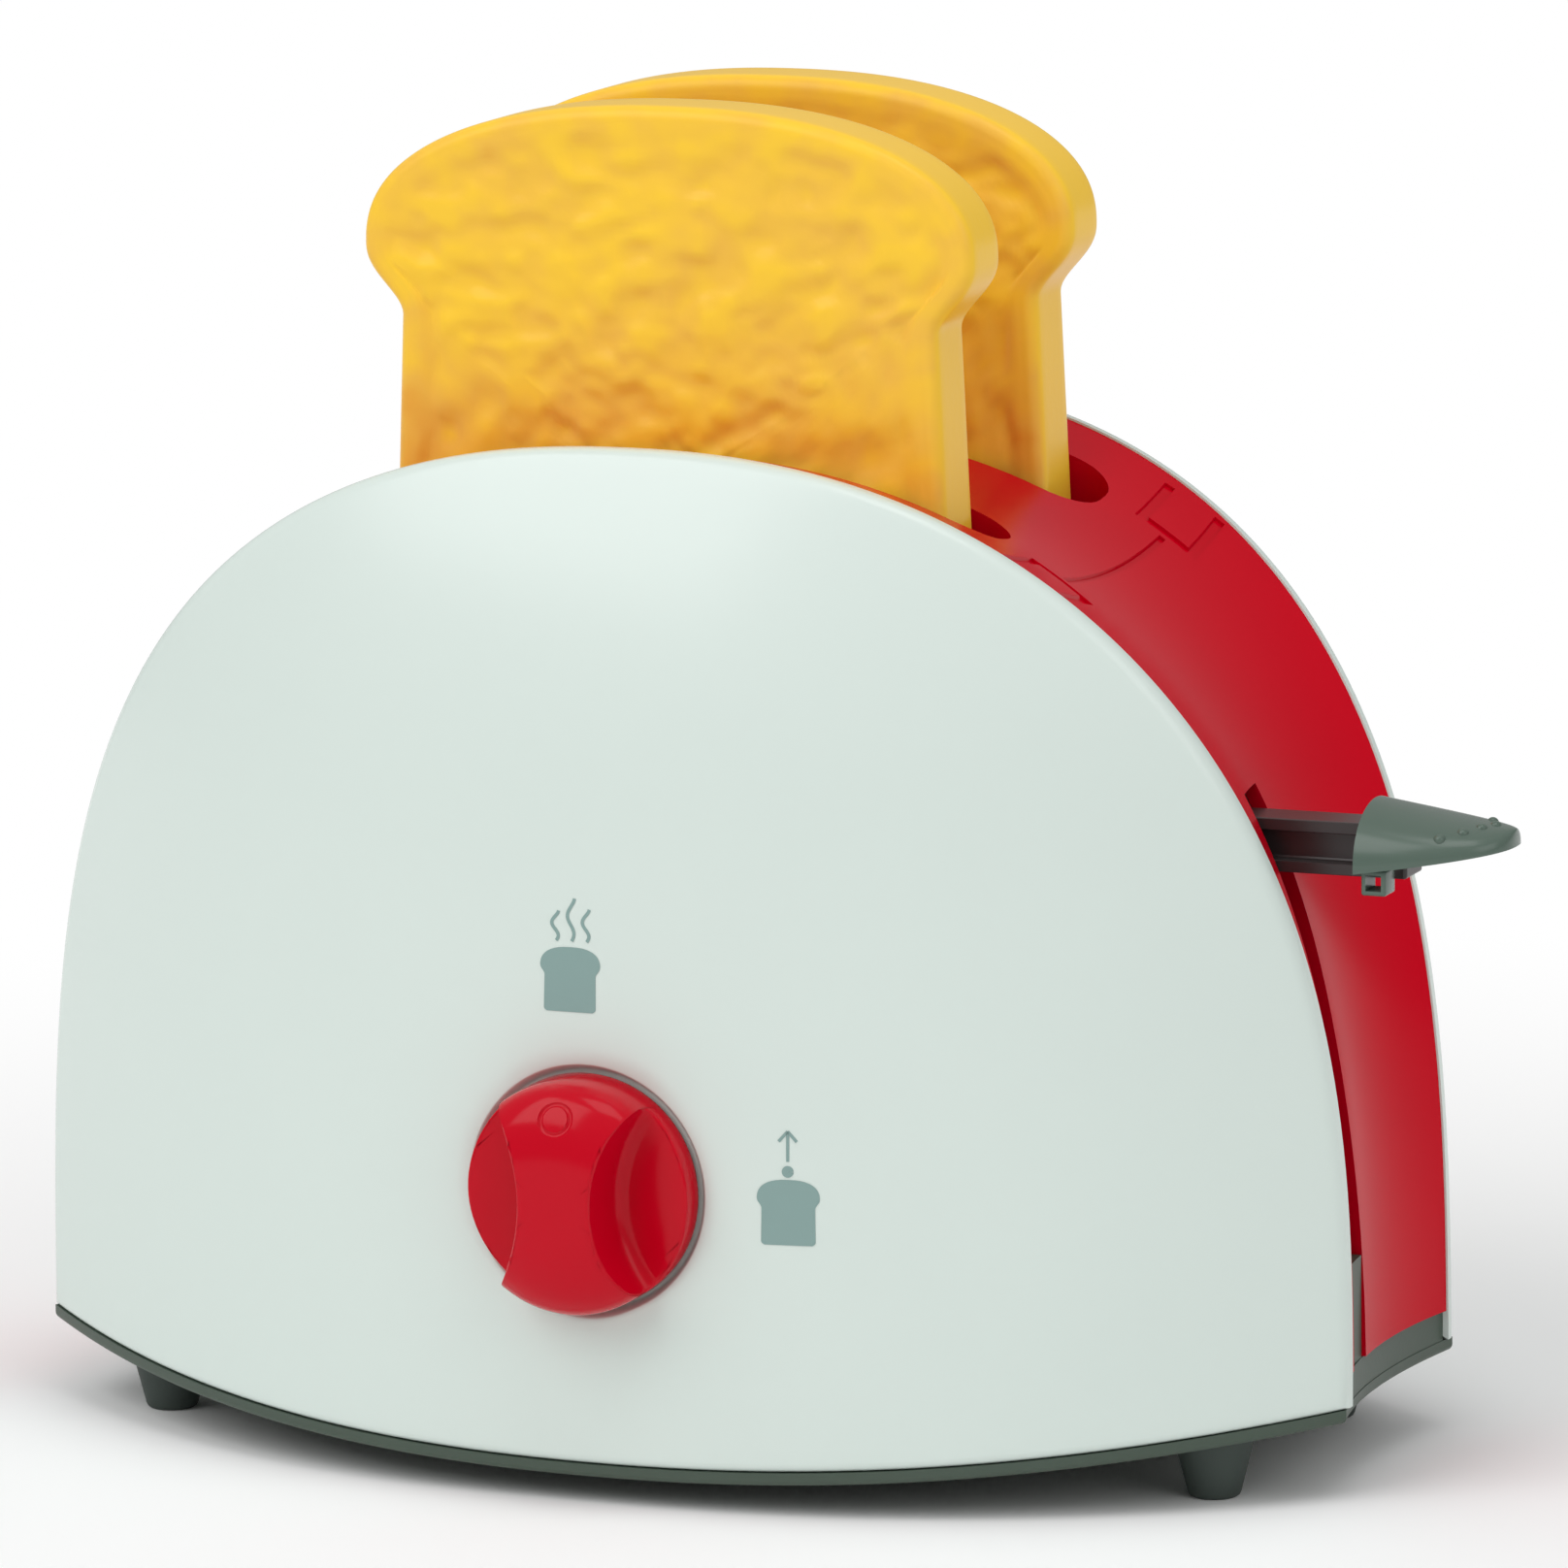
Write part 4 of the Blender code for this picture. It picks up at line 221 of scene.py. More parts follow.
def surface(name, rows, facing=None):
    """Grid primitive laid over rows of points. An open one is turned to face a direction."""
    alone()
    across, along = len(rows[0]) - 1, len(rows) - 1
    bpy.ops.mesh.primitive_grid_add(x_subdivisions=across, y_subdivisions=along, size=1.0)
    obj = fresh(name)
    for vertex in obj.data.vertices:
        i, j = round((vertex.co.x + 0.5) * across), round((vertex.co.y + 0.5) * along)
        vertex.co = rows[j][i]
    edit_all()
    close_up()
    if facing is not None:
        total = sum((face.normal * face.area for face in obj.data.polygons), Vector())
        if total.dot(Vector(facing)) < 0.0:
            edit_all()
            bpy.ops.mesh.flip_normals()
            bpy.ops.object.mode_set(mode="OBJECT")
    return obj


def prism(name, outline, rise):
    """Circle primitive laid on an outline of points and extruded along a direction."""
    alone()
    bpy.ops.mesh.primitive_circle_add(vertices=len(outline), radius=1.0, fill_type="NGON")
    obj = fresh(name)
    for vertex, point in zip(obj.data.vertices, outline):
        vertex.co = point
    edit_all()
    bpy.ops.mesh.extrude_region_move(TRANSFORM_OT_translate={"value": rise})
    close_up()
    return obj


def turned(name, stations, sides, forward=False):
    """Filled circle, extruded and scaled from station to station of (height, radius).
    Forward pieces stand along the knob's axis, with heights towards the front."""
    alone()
    height, radius = stations[0]
    bpy.ops.mesh.primitive_circle_add(vertices=sides, radius=radius, fill_type="NGON",
                                      location=(0.0, 0.0, height))
    obj = fresh(name)
    edit_all()
    for next_height, next_radius in stations[1:]:
        bpy.ops.mesh.extrude_region_move(
            TRANSFORM_OT_translate={"value": (0.0, 0.0, next_height - height)})
        share = next_radius / radius
        bpy.ops.transform.resize(value=(share, share, 1.0))
        height, radius = next_height, next_radius
    close_up()
    settle(obj)
    if forward:
        obj.rotation_euler.x = QUARTER_TURN
        settle(obj)
    return obj


def settle(obj):
    """The object's place, turn and scale go into its mesh."""
    take(obj)
    bpy.ops.object.transform_apply(location=True, rotation=True, scale=True)


def shift(obj, move):
    obj.location = move
    settle(obj)
    return obj


def block(name, low, high):
    alone()
    bpy.ops.mesh.primitive_cube_add(size=1.0, location=(Vector(low) + Vector(high)) / 2.0)
    obj = fresh(name)
    obj.scale = Vector(high) - Vector(low)
    settle(obj)
    return obj


def modify(obj, kind, **settings):
    """Adds a modifier with its settings and applies it."""
    take(obj)
    step = obj.modifiers.new("step", kind)
    for key, value in settings.items():
        setattr(step, key, value)
    bpy.ops.object.modifier_apply(modifier=step.name)


def combine(target, tool, operation):
    modify(target, "BOOLEAN", object=tool, operation=operation, solver="EXACT")
    bpy.data.objects.remove(tool, do_unlink=True)
    return target


def carve(target, tool):
    return combine(target, tool, "DIFFERENCE")


def weld_on(target, tool):
    return combine(target, tool, "UNION")


def thicken(obj, wall):
    modify(obj, "SOLIDIFY", thickness=wall, offset=-1.0, use_even_offset=True)


def soften(obj, width, angle=40.0, segments=2, clamp=True):
    modify(obj, "BEVEL", width=width, segments=segments, limit_method="ANGLE",
           angle_limit=math.radians(angle), use_clamp_overlap=clamp)


def smooth(obj, angle=35.0):
    take(obj)
    bpy.ops.object.shade_smooth_by_angle(angle=math.radians(angle))


def place(obj, body, slot, material, *replaced):
    """A finished piece gets its finish and goes on its body, for the nodes that it stands for."""
    obj.data.materials.clear()
    obj.data.materials.append(material)
    take(obj)
    bpy.ops.object.select_all(action="DESELECT")
    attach(obj, body)
    if replaced:
        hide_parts(*replaced)
    return obj


# Finishes

def add(tree, kind, links=None, **settings):
    """A node with its settings, and its inputs linked or set by name or number."""
    node = tree.nodes.new(kind)
    for key, value in settings.items():
        setattr(node, key, value)
    for key, value in (links or {}).items():
        if isinstance(value, bpy.types.NodeSocket):
            tree.links.new(value, node.inputs[key])
        else:
            node.inputs[key].default_value = value
    return node


def opaque(rgb):
    return (*rgb, 1.0)


def new_finish(name, **shader_values):
    """Material with its shader's own sockets set, and the object's coordinates."""
    made = bpy.data.materials.new(name)
    made.use_nodes = True
    tree = made.node_tree
    shader = tree.nodes["Principled BSDF"]
    for key, value in shader_values.items():
        shader.inputs[key.replace("_", " ")].default_value = value
    where = add(tree, "ShaderNodeTexCoord").outputs["Object"]
    return made, tree, shader, where


def mottled(tree, where, first, second, patch, detail=2.0):
    """Colour that wanders between two shades in patches of a real size."""
    cloud = add(tree, "ShaderNodeTexNoise", {"Vector": where, "Scale": 1.0 / patch, "Detail": detail})
    return add(tree, "ShaderNodeMix", {0: cloud.outputs["Fac"], 6: opaque(first), 7: opaque(second)},
               data_type="RGBA").outputs[2]


def grained(tree, shader, where, grain, height, detail=3.0):
    """Bump of a real grain size and height."""
    cloud = add(tree, "ShaderNodeTexNoise", {"Vector": where, "Scale": 1.0 / grain, "Detail": detail})
    bump = add(tree, "ShaderNodeBump", {"Height": cloud.outputs["Fac"], "Distance": height,
                                        "Strength": 1.0})
    tree.links.new(bump.outputs["Normal"], shader.inputs["Normal"])


def shade(rgb, share):
    return tuple(min(c * share, 1.0) for c in rgb)


def moulded(name, rgb, roughness, wave, wave_height, variation=0.03, **extra):
    """Injection-moulded plastic: its dye is even, its skin sinks and swells a little."""
    made, tree, shader, where = new_finish(name, Roughness=roughness, **extra)
    blend = mottled(tree, where, shade(rgb, 1.0 - variation), shade(rgb, 1.0 + variation), 30.0 * MM)
    tree.links.new(blend, shader.inputs["Base Color"])
    grained(tree, shader, where, wave, wave_height)
    return made


FINISHES = {}


def make_finishes():
    c = colours()
    # Polished ABS: clear gloss, with the slow waves of a large moulding
    FINISHES["shell_white"] = moulded("polished_white_abs", c.shell, 0.26, 45.0 * MM, 0.03 * MM, 0.012,
                                      IOR=1.53)
    # Polished ABS, dyed deep: its gloss carries the light round the band's curve
    FINISHES["band_red"] = moulded("polished_red_abs", c.band, 0.20, 30.0 * MM, 0.03 * MM, 0.06,
                                   IOR=1.53, Specular_IOR_Level=0.05)
    FINISHES["knob_red"] = moulded("bright_red_abs", c.knob, 0.14, 16.0 * MM, 0.01 * MM, 0.04, IOR=1.53,
                                   Specular_IOR_Level=0.16)
    # Polypropylene from a spark-eroded mould: satin, with a fine grain, drawn coarser to show
    FINISHES["base_grey"] = moulded("satin_grey_polypropylene", c.base, 0.42, 0.7 * MM, 0.02 * MM)
    FINISHES["arm_dark"] = moulded("satin_dark_polypropylene", c.arm, 0.34, 0.9 * MM, 0.012 * MM)
    # Soft rubber: matt, with a dusty grain
    FINISHES["foot_grey"] = moulded("grey_rubber", c.foot, 0.62, 0.5 * MM, 0.03 * MM)
    # ABS from a fine-blasted mould: half gloss, with faint flow marks
    FINISHES["lever_grey"] = moulded("half_gloss_grey_abs", c.lever, 0.24, 6.0 * MM, 0.02 * MM,
                                     Specular_IOR_Level=0.4)
    # Undyed mouldings inside, and the acetal latch
    FINISHES["inner_natural"] = moulded("undyed_polypropylene", c.inner, 0.48, 1.2 * MM, 0.02 * MM)
    FINISHES["latch_grey"] = moulded("grey_acetal", hex_colour("#94979A"), 0.38, 1.0 * MM, 0.01 * MM)
    FINISHES["toast_yellow"] = baked_plastic()
    FINISHES["print_ink"] = moulded("pad_printed_ink", c.ink, 0.42, 0.4 * MM, 0.004 * MM)
    FINISHES["steel"] = drawn_steel()


def drawn_steel():
    """Bright drawn wire and turned screws: fine lines along the drawing give a soft glint."""
    made, tree, shader, where = new_finish("drawn_steel", Metallic=1.0, Roughness=0.28)
    blend = mottled(tree, where, hex_colour("#C4C5C6"), hex_colour("#DADBDC"), 2.0 * MM)
    tree.links.new(blend, shader.inputs["Base Color"])
    lines = add(tree, "ShaderNodeMapping", {"Vector": where, "Scale": (1.0, 1.0, 0.1)})
    grained(tree, shader, lines.outputs["Vector"], 0.3 * MM, 0.004 * MM)
    return made


def baked_plastic():
    """Yellow moulding with sprayed browning and painted shade: the mesh's attribute says where the
    patches lie, browner as painted shade in the relief's hollows and paler as painted highlight on
    its crests, and a finer cloud breaks up their edges. The rim keeps the plain yellow."""
    c = colours()
    made, tree, shader, where = new_finish("browned_shaded_yellow_polystyrene", Roughness=0.30, IOR=1.55,
                                           Specular_IOR_Level=0.15)
    brown_and_shade = add(tree, "ShaderNodeAttribute", attribute_name="browning_and_shade").outputs["Fac"]
    cloud = add(tree, "ShaderNodeTexNoise", {"Vector": where, "Scale": 1.0 / (7.0 * MM),
                                             "Detail": 2.0}).outputs["Fac"]
    broken = add(tree, "ShaderNodeMath", {0: cloud, 1: 0.36, 2: -0.18}, operation="MULTIPLY_ADD")
    level = add(tree, "ShaderNodeMath", {0: brown_and_shade, 1: broken.outputs[0]}, operation="ADD",
                use_clamp=True)
    ramp = add(tree, "ShaderNodeValToRGB", {"Fac": level.outputs[0]})
    # Pale end: rim and painted highlight on the crests; brown end: browning and painted shade in the
    # hollows
    stops = ramp.color_ramp.elements
    stops[0].position, stops[0].color = 0.05, opaque(c.toast_pale_and_highlight)
    stops[1].position, stops[1].color = 0.95, opaque(c.toast_brown_and_shade)
    middle = stops.new(0.38)
    middle.color = opaque(c.toast)
    tree.links.new(ramp.outputs["Color"], shader.inputs["Base Color"])
    grained(tree, shader, where, 1.4 * MM, 0.03 * MM)
    return made


# White shells

ARCH_COLUMNS = 150
FOOT_COLUMNS = 90
FACE_RINGS = 32
CORNER_ROWS = 6
KNOB_HEIGHT = (KNOB_BOX[0].z + KNOB_BOX[1].z) / 2.0 - MIDDLE.z
DISH_DEPTH = 2.2 * MM
DISH_SLOPE = 1.2 * MM
SPINDLE_HOLE = 3.4 * MM


def shell_outline(inset):
    """Closed outline of a shell: over the arch and back along the foot line."""
    outline = [arch(HALF_TURN * i / ARCH_COLUMNS, inset) for i in range(ARCH_COLUMNS + 1)]
    outline = [(x, max(z, inset)) for x, z in outline]
    left, right = outline[-1][0], outline[0][0]
    return outline + [(left + (right - left) * i / FOOT_COLUMNS, inset)
                      for i in range(1, FOOT_COLUMNS + 1)]


def shell_point(x, z, side, back=0.0):
    """Point of a shell's outer skin. The dip of the foot line fades out higher up."""
    dip = edge_sag(x) * (1.0 - ease(0.0, 17.0 * MM, z))
    return at(x, side * (face_depth(x, z) - back), z - dip)


def round_hub(outline, radius, side, sunk=0.0):
    """Ring of a shell's face at a radius round the knob's axis, sunk towards the dish's floor."""
    floor = face_depth(0.0, KNOB_HEIGHT) - DISH_DEPTH
    row = []
    for x, z in outline:
        share = radius / math.hypot(x, z - KNOB_HEIGHT)
        px, pz = x * share, KNOB_HEIGHT + (z - KNOB_HEIGHT) * share
        row.append(shell_point(px, pz, side, sunk * (face_depth(px, pz) - floor)))
    return row


def shell_rows(side, hub):
    """Rings of a shell's face from the hub out, then its rounded corner and turned-in rim."""
    corner, rim = sizes().shell_corner, sizes().rim_depth
    outline = shell_outline(corner)
    rows = []
    for j in range(FACE_RINGS + 1):
        row = []
        for x, z in outline:
            reach = math.hypot(x, z - KNOB_HEIGHT)
            share = (hub + (reach - hub) * j / FACE_RINGS) / reach
            row.append(shell_point(x * share, KNOB_HEIGHT + (z - KNOB_HEIGHT) * share, side))
        rows.append(row)
    for j in range(1, CORNER_ROWS + 1):
        turn = QUARTER_TURN * j / CORNER_ROWS
        back = corner * (1.0 - math.cos(turn))
        rows.append([shell_point(x, z, side, back)
                     for x, z in shell_outline(corner * (1.0 - math.sin(turn)))])
    for j in (1, 2):
        back = corner + (rim - corner) * j / 2.0
        rows.append([shell_point(x, z, side, back) for x, z in shell_outline(0.0)])
    return rows


def make_shell(name, side, with_dish):
    hub = sizes().dish_radius + DISH_SLOPE / 2.0 if with_dish else 0.0
    rows = shell_rows(side, hub)
    if with_dish:
        outline = shell_outline(sizes().shell_corner)
        radii = [SPINDLE_HOLE, 9.0 * MM, 14.0 * MM]
        radii += [hub - DISH_SLOPE + DISH_SLOPE * k / 10 for k in range(10)]
        dish = [round_hub(outline, r, side, 1.0 - ease(hub - DISH_SLOPE, hub, r)) for r in radii]
        rows = dish + rows
    shell = surface(name, rows, facing=(0.0, side, 0.0))
    thicken(shell, sizes().shell_wall)
    smooth(shell, 40.0)
    return shell


class MakeShells(bpy.types.Operator):
    """Bow the two white shells, with the knob's dish in the front one"""
    bl_idname = "toaster.shells"
    bl_label = "White shells"

    def execute(self, context):
        front = make_shell("white_shell_front", -1.0, True)
        place(front, "root", "shell_white", FINISHES["shell_white"], "front_shell")
        back = make_shell("white_shell_back", 1.0, False)
        place(back, "root", "shell_white", FINISHES["shell_white"], "back_shell")
        return {"FINISHED"}


# Red band

BAND_ACROSS = 30
BAND_ALONG = 170
VALLEY = 4.3 * MM
BAND_RECESS = 0.3 * MM
BAND_GAP = 0.08 * MM
BAND_FOOT = 4.5 * MM
GROOVE_DEPTH = 0.45 * MM
SLICE_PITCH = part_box("toast_back")[0].y - SLICE_BOX[0].y
SLOT_HALF_LENGTH = 51.5 * MM
SLOT_CORNER = 7.0 * MM
COLLAR_WALL = 1.5 * MM
COLLAR_FOOT = 106.5 * MM
LEVER_SLOT = (-19.1 * MM, -9.7 * MM, 90.5 * MM)
CLIP_MARK_X = HALF_LENGTH - 45.0 * MM


def valley(across, z):
    """Depth of the band's shallow valley: across runs from -1 to 1, and it flattens near the foot."""
    return VALLEY * (0.56 + 0.44 * ease(0.0, 60.0 * MM, z)) * (1.0 - across * across)


def band_rows(extra=0.0, foot=None):
    """Rows along the arch, one for each place across the band's shallow valley."""
    s = sizes()
    rows = []
    for k in range(BAND_ACROSS + 1):
        across = -1.0 + 2.0 * k / BAND_ACROSS
        inset = BAND_RECESS + valley(across, BAND_FOOT) + extra
        first = math.asin((BAND_FOOT / (HEIGHT - inset)) ** (ARCH_POWER_Z / 2.0))
        row = []
        for i in range(BAND_ALONG + 1):
            angle = first + (HALF_TURN - 2.0 * first) * i / BAND_ALONG
            x, z = arch(angle, BAND_RECESS + valley(across, arch(angle)[1]) + extra)
            y = across * (face_depth(*arch(angle)) - s.rim_depth - BAND_GAP)
            row.append(at(x, y, z))
        if foot is not None:
            row = [row[0] * 1.0] + row + [row[-1] * 1.0]
            row[0].z = row[-1].z = MIDDLE.z + foot
        rows.append(row)
    return rows


def closed_form(name, loops):
    """Solid from closed loops of points, with each end gathered into its middle."""
    def gathered(loop):
        middle = sum(loop[:-1], Vector()) / (len(loop) - 1)
        return [middle] * len(loop)
    return surface(name, [gathered(loops[0])] + loops + [gathered(loops[-1])])


def band_core(name, extra, foot=0.0):
    """Solid under the band's surface, for trimming what must follow the band."""
    return closed_form(name, [row + [row[0]] for row in band_rows(extra, foot)])


def slot_outline(grow, y):
    """Rounded slot round a row of toast."""
    half, width = SLOT_HALF_LENGTH + grow, sizes().slot_width / 2.0 + grow
    corner = SLOT_CORNER + grow
    points = []
    for quarter, (sx, sy) in enumerate(((1, 1), (-1, 1), (-1, -1), (1, -1))):
        for i in range(9):
            turn = QUARTER_TURN * (quarter + i / 8)
            points.append((sx * (half - corner) + corner * math.cos(turn),
                           y + sy * (width - corner) + corner * math.sin(turn)))
    return points


def upright(name, outline, low, high):
    return prism(name, [at(x, y, low) for x, y in outline], (0.0, 0.0, high - low))


def clip_mark_grooves():
    """U-shaped grooves round the clips by both shells, and the line that joins them."""
    top = arch_height(CLIP_MARK_X)
    edge = face_depth(CLIP_MARK_X, top) - 4.5 * MM
    far, half, wide = edge - 12.0 * MM, 3.2 * MM, 4.8 * MM
    low, high = top - 12.0 * MM, top + 12.0 * MM
    reach = far - 2.6 * MM
    grooves = None
    for side in (-1.0, 1.0):
        line = [(-0.5 * MM, -reach), (0.5 * MM, -reach), (0.5 * MM, reach), (-0.5 * MM, reach)]
        cutters = [upright("groove_line", [(side * CLIP_MARK_X + x, y) for x, y in line], low, high)]
        for way in (-1.0, 1.0):
            mark = [(-wide, edge), (-half, edge), (-half, far), (half, far), (half, edge), (wide, edge),
                    (wide, far - 1.6 * MM), (-wide, far - 1.6 * MM)]
            cutters.append(upright("clip_mark", [(side * CLIP_MARK_X + x, way * y) for x, y in mark],
                                   low, high))
        for cutter in cutters:
            grooves = cutter if grooves is None else weld_on(grooves, cutter)
    return carve(grooves, band_core("groove_floor", GROOVE_DEPTH))


class MakeBand(bpy.types.Operator):
    """Lay the red band over the arch, with its toast slots, lever slot and clip grooves"""
    bl_idname = "toaster.band"
    bl_label = "Red band"

    def execute(self, context):
        band = surface("red_band", band_rows(), facing=(0.0, 0.0, 1.0))
        thicken(band, sizes().band_wall)
        for label, y in (("front", -SLICE_PITCH / 2.0), ("back", SLICE_PITCH / 2.0)):
            collar = upright("collar_" + label, slot_outline(COLLAR_WALL, y), COLLAR_FOOT, HEIGHT)
            modify(collar, "BOOLEAN", object=band_core("collar_core", sizes().band_wall / 2.0),
                   operation="INTERSECT", solver="EXACT")
            bpy.data.objects.remove(bpy.data.objects["collar_core"], do_unlink=True)
            weld_on(band, collar)
            carve(band, upright("slot_" + label, slot_outline(0.0, y), COLLAR_FOOT - MM, HEIGHT + MM))
        low, high, top = LEVER_SLOT
        carve(band, block("lever_slot", at(HALF_LENGTH - 60.0 * MM, low, -SAG),
                          at(HALF_LENGTH + MM, high, top)))
        carve(band, clip_mark_grooves())
        smooth(band, 32.0)
        place(band, "root", "band_red", FINISHES["band_red"], "body_band")
        return {"FINISHED"}


# Slices of toast

SLICE_FOOT = SLICE_BOX[0].z - MIDDLE.z
SLICE_TOP = SLICE_BOX[1].z - MIDDLE.z
SLICE_HALF_DEPTH = (SLICE_BOX[1].y - SLICE_BOX[0].y) / 2.0
WAIST_HALF, WAIST_Z = 43.1 * MM, 157.8 * MM
LOBE_HALF, LOBE_Z = 49.0 * MM, 168.6 * MM
SLICE_CORNER = 5.0 * MM
RELIEF_MARGIN = 3.2 * MM


def slice_outline():
    """Loaf outline from the foot's middle, up the right side, over the crown and down."""
    foot_half = WAIST_HALF + 0.04 * (WAIST_Z - SLICE_FOOT)
    right = [(foot_half * i / 16, SLICE_FOOT) for i in range(15)]
    for i in range(9):
        turn = -QUARTER_TURN + QUARTER_TURN * i / 8
        right.append((foot_half - SLICE_CORNER + SLICE_CORNER * math.cos(turn),
                      SLICE_FOOT + SLICE_CORNER + SLICE_CORNER * math.sin(turn)))
    low = SLICE_FOOT + SLICE_CORNER
    for i in range(1, 27):
        share = i / 26
        right.append((foot_half + (WAIST_HALF - foot_half) * share, low + (WAIST_Z - low) * share))
    for i in range(1, 19):
        share = i / 18
        swell = 1.0 - ease(0.0, 1.0, (1.0 - share) ** 1.25)
        right.append((WAIST_HALF + (LOBE_HALF - WAIST_HALF) * swell,
                      WAIST_Z + (LOBE_Z - WAIST_Z) * share))
    for i in range(1, 60):
        turn = QUARTER_TURN * i / 60
        right.append((LOBE_HALF * math.cos(turn) ** (2.0 / 2.25),
                      LOBE_Z + (SLICE_TOP - LOBE_Z) * math.sin(turn) ** (2.0 / 2.25)))
    return right + [(0.0, SLICE_TOP)] + [(-x, z) for x, z in reversed(right)]


def inward(outline):
    """Unit directions into a closed outline at its points."""
    closed = outline[:-1]
    count = len(closed)
    ways = []
    for i in range(count):
        (ax, az), (bx, bz) = closed[i - 2], closed[(i + 2) % count]
        way = Vector((-(bz - az), bx - ax))
        ways.append(way.normalized())
    return ways + [ways[0]]


def crumb(x, z, seed):
    """Height of the baked relief, from pits at -1 to ridges at 1."""
    spot = Vector((x, 1.25 * z, seed)) / MM
    drift = Vector((noise.noise(spot / 11.0), noise.noise(spot / 11.0 + Vector((5.0, 9.0, 2.0))), 0.0))
    folds = 1.0 - 3.0 * abs(noise.noise(spot / 8.0 + 0.9 * drift))
    return max(min(0.25 * folds + 1.15 * noise.fractal(spot / 6.5, 1.0, 2.0, 2) - 0.02, 1.0), -1.0)


def make_slice(name, y, seed):
    round_off = sizes().slice_round
    outline = slice_outline()
    ways = inward(outline)
    middle = (0.0, (SLICE_FOOT + SLICE_TOP) / 2.0 - 12.0 * MM)
    rows = []
    for side in (-1.0, 1.0):
        half = []
        inner = [(x + w.x * RELIEF_MARGIN, z + w.y * RELIEF_MARGIN) for (x, z), w in zip(outline, ways)]
        for j in range(68):
            share = j / 68
            row = []
            for x, z in inner:
                px, pz = middle[0] + (x - middle[0]) * share, middle[1] + (z - middle[1]) * share
                edge = math.hypot(x - px, z - pz)
                calm = ease(0.0, 3.5 * MM, edge) * ease(MM, 7.0 * MM, math.hypot(px, pz - middle[1]))
                height = sizes().slice_relief * crumb(px, pz, seed + side) * calm
                depth = SLICE_HALF_DEPTH - 0.5 * MM * ease(0.0, 3.0 * MM, edge)
                row.append(at(px, y + side * min(depth + height, SLICE_HALF_DEPTH), pz))
            half.append(row)
        for j in range(3):
            away = RELIEF_MARGIN + (round_off - RELIEF_MARGIN) * j / 3
            half.append([at(x + w.x * away, y + side * SLICE_HALF_DEPTH, z + w.y * away)
                         for (x, z), w in zip(outline, ways)])
        for j in range(6):
            turn = QUARTER_TURN * j / 6
            away = round_off * (1.0 - math.sin(turn))
            back = round_off * (1.0 - math.cos(turn))
            half.append([at(x + w.x * away, y + side * (SLICE_HALF_DEPTH - back), z + w.y * away)
                         for (x, z), w in zip(outline, ways)])
        for j in range(3):
            back = round_off + (SLICE_HALF_DEPTH - round_off) * j / 3
            half.append([at(x, y + side * (SLICE_HALF_DEPTH - back), z) for x, z in outline])
        rows += half if side < 0.0 else [[at(x, y, z) for x, z in outline]] + half[::-1]
    piece = surface(name, rows)
    # Browning and painted light per point: random wide patches, painted shade (browner) where the relief
    # sinks, painted highlight (paler) on its crests, a little browner from the top down, and no browning
    # on the rim
    browning_and_shade = piece.data.attributes.new("browning_and_shade", "FLOAT", "POINT")
    for vertex, cell in zip(piece.data.vertices, browning_and_shade.data):
        spot = vertex.co - MIDDLE
        side = -1.0 if spot.y < y else 1.0
        on_face = ease(SLICE_HALF_DEPTH - 1.6 * MM, SLICE_HALF_DEPTH - 0.5 * MM, abs(spot.y - y))
        # Painted shade: the deeper the relief, the browner the point
        low = 1.0 - crumb(spot.x, spot.z, seed + side)
        wide = noise.fractal(Vector((spot.x, spot.z, seed * 3.0)) / (19.0 * MM), 0.8, 2.0, 2)
        fade = ease(SLICE_TOP, SLICE_TOP - 70.0 * MM, spot.z)
        cell.value = max(0.0, min(1.0, on_face * (0.01 + 0.22 * low + 0.18 * wide + 0.05 * fade)))
    smooth(piece, 60.0)
    return piece


class MakeSlices(bpy.types.Operator):
    """Form the two slices of toast with their baked relief"""
    bl_idname = "toaster.slices"
    bl_label = "Slices of toast"

    def execute(self, context):
        for name, y, seed in (("toast_front", -SLICE_PITCH / 2.0, 3.0),
                              ("toast_back", SLICE_PITCH / 2.0, 11.0)):
            piece = make_slice("browned_" + name, y, seed)
            place(piece, name, "toast_yellow", FINISHES["toast_yellow"], name)
        return {"FINISHED"}


# Knob

KNOB_RADIUS = 17.6 * MM
KNOB_BACK = 60.65 * MM
KNOB_EDGE = 67.0 * MM
KNOB_FRONT = 75.05 * MM
HOLLOW_RADIUS = 22.0 * MM
MARKER_RISE = 13.0 * MM


def knob_crown(radius):
    share = min(radius / KNOB_RADIUS, 1.0)
    return KNOB_EDGE + (KNOB_FRONT - KNOB_EDGE) * (1.0 - share ** 2.6) ** (1.0 / 2.6)


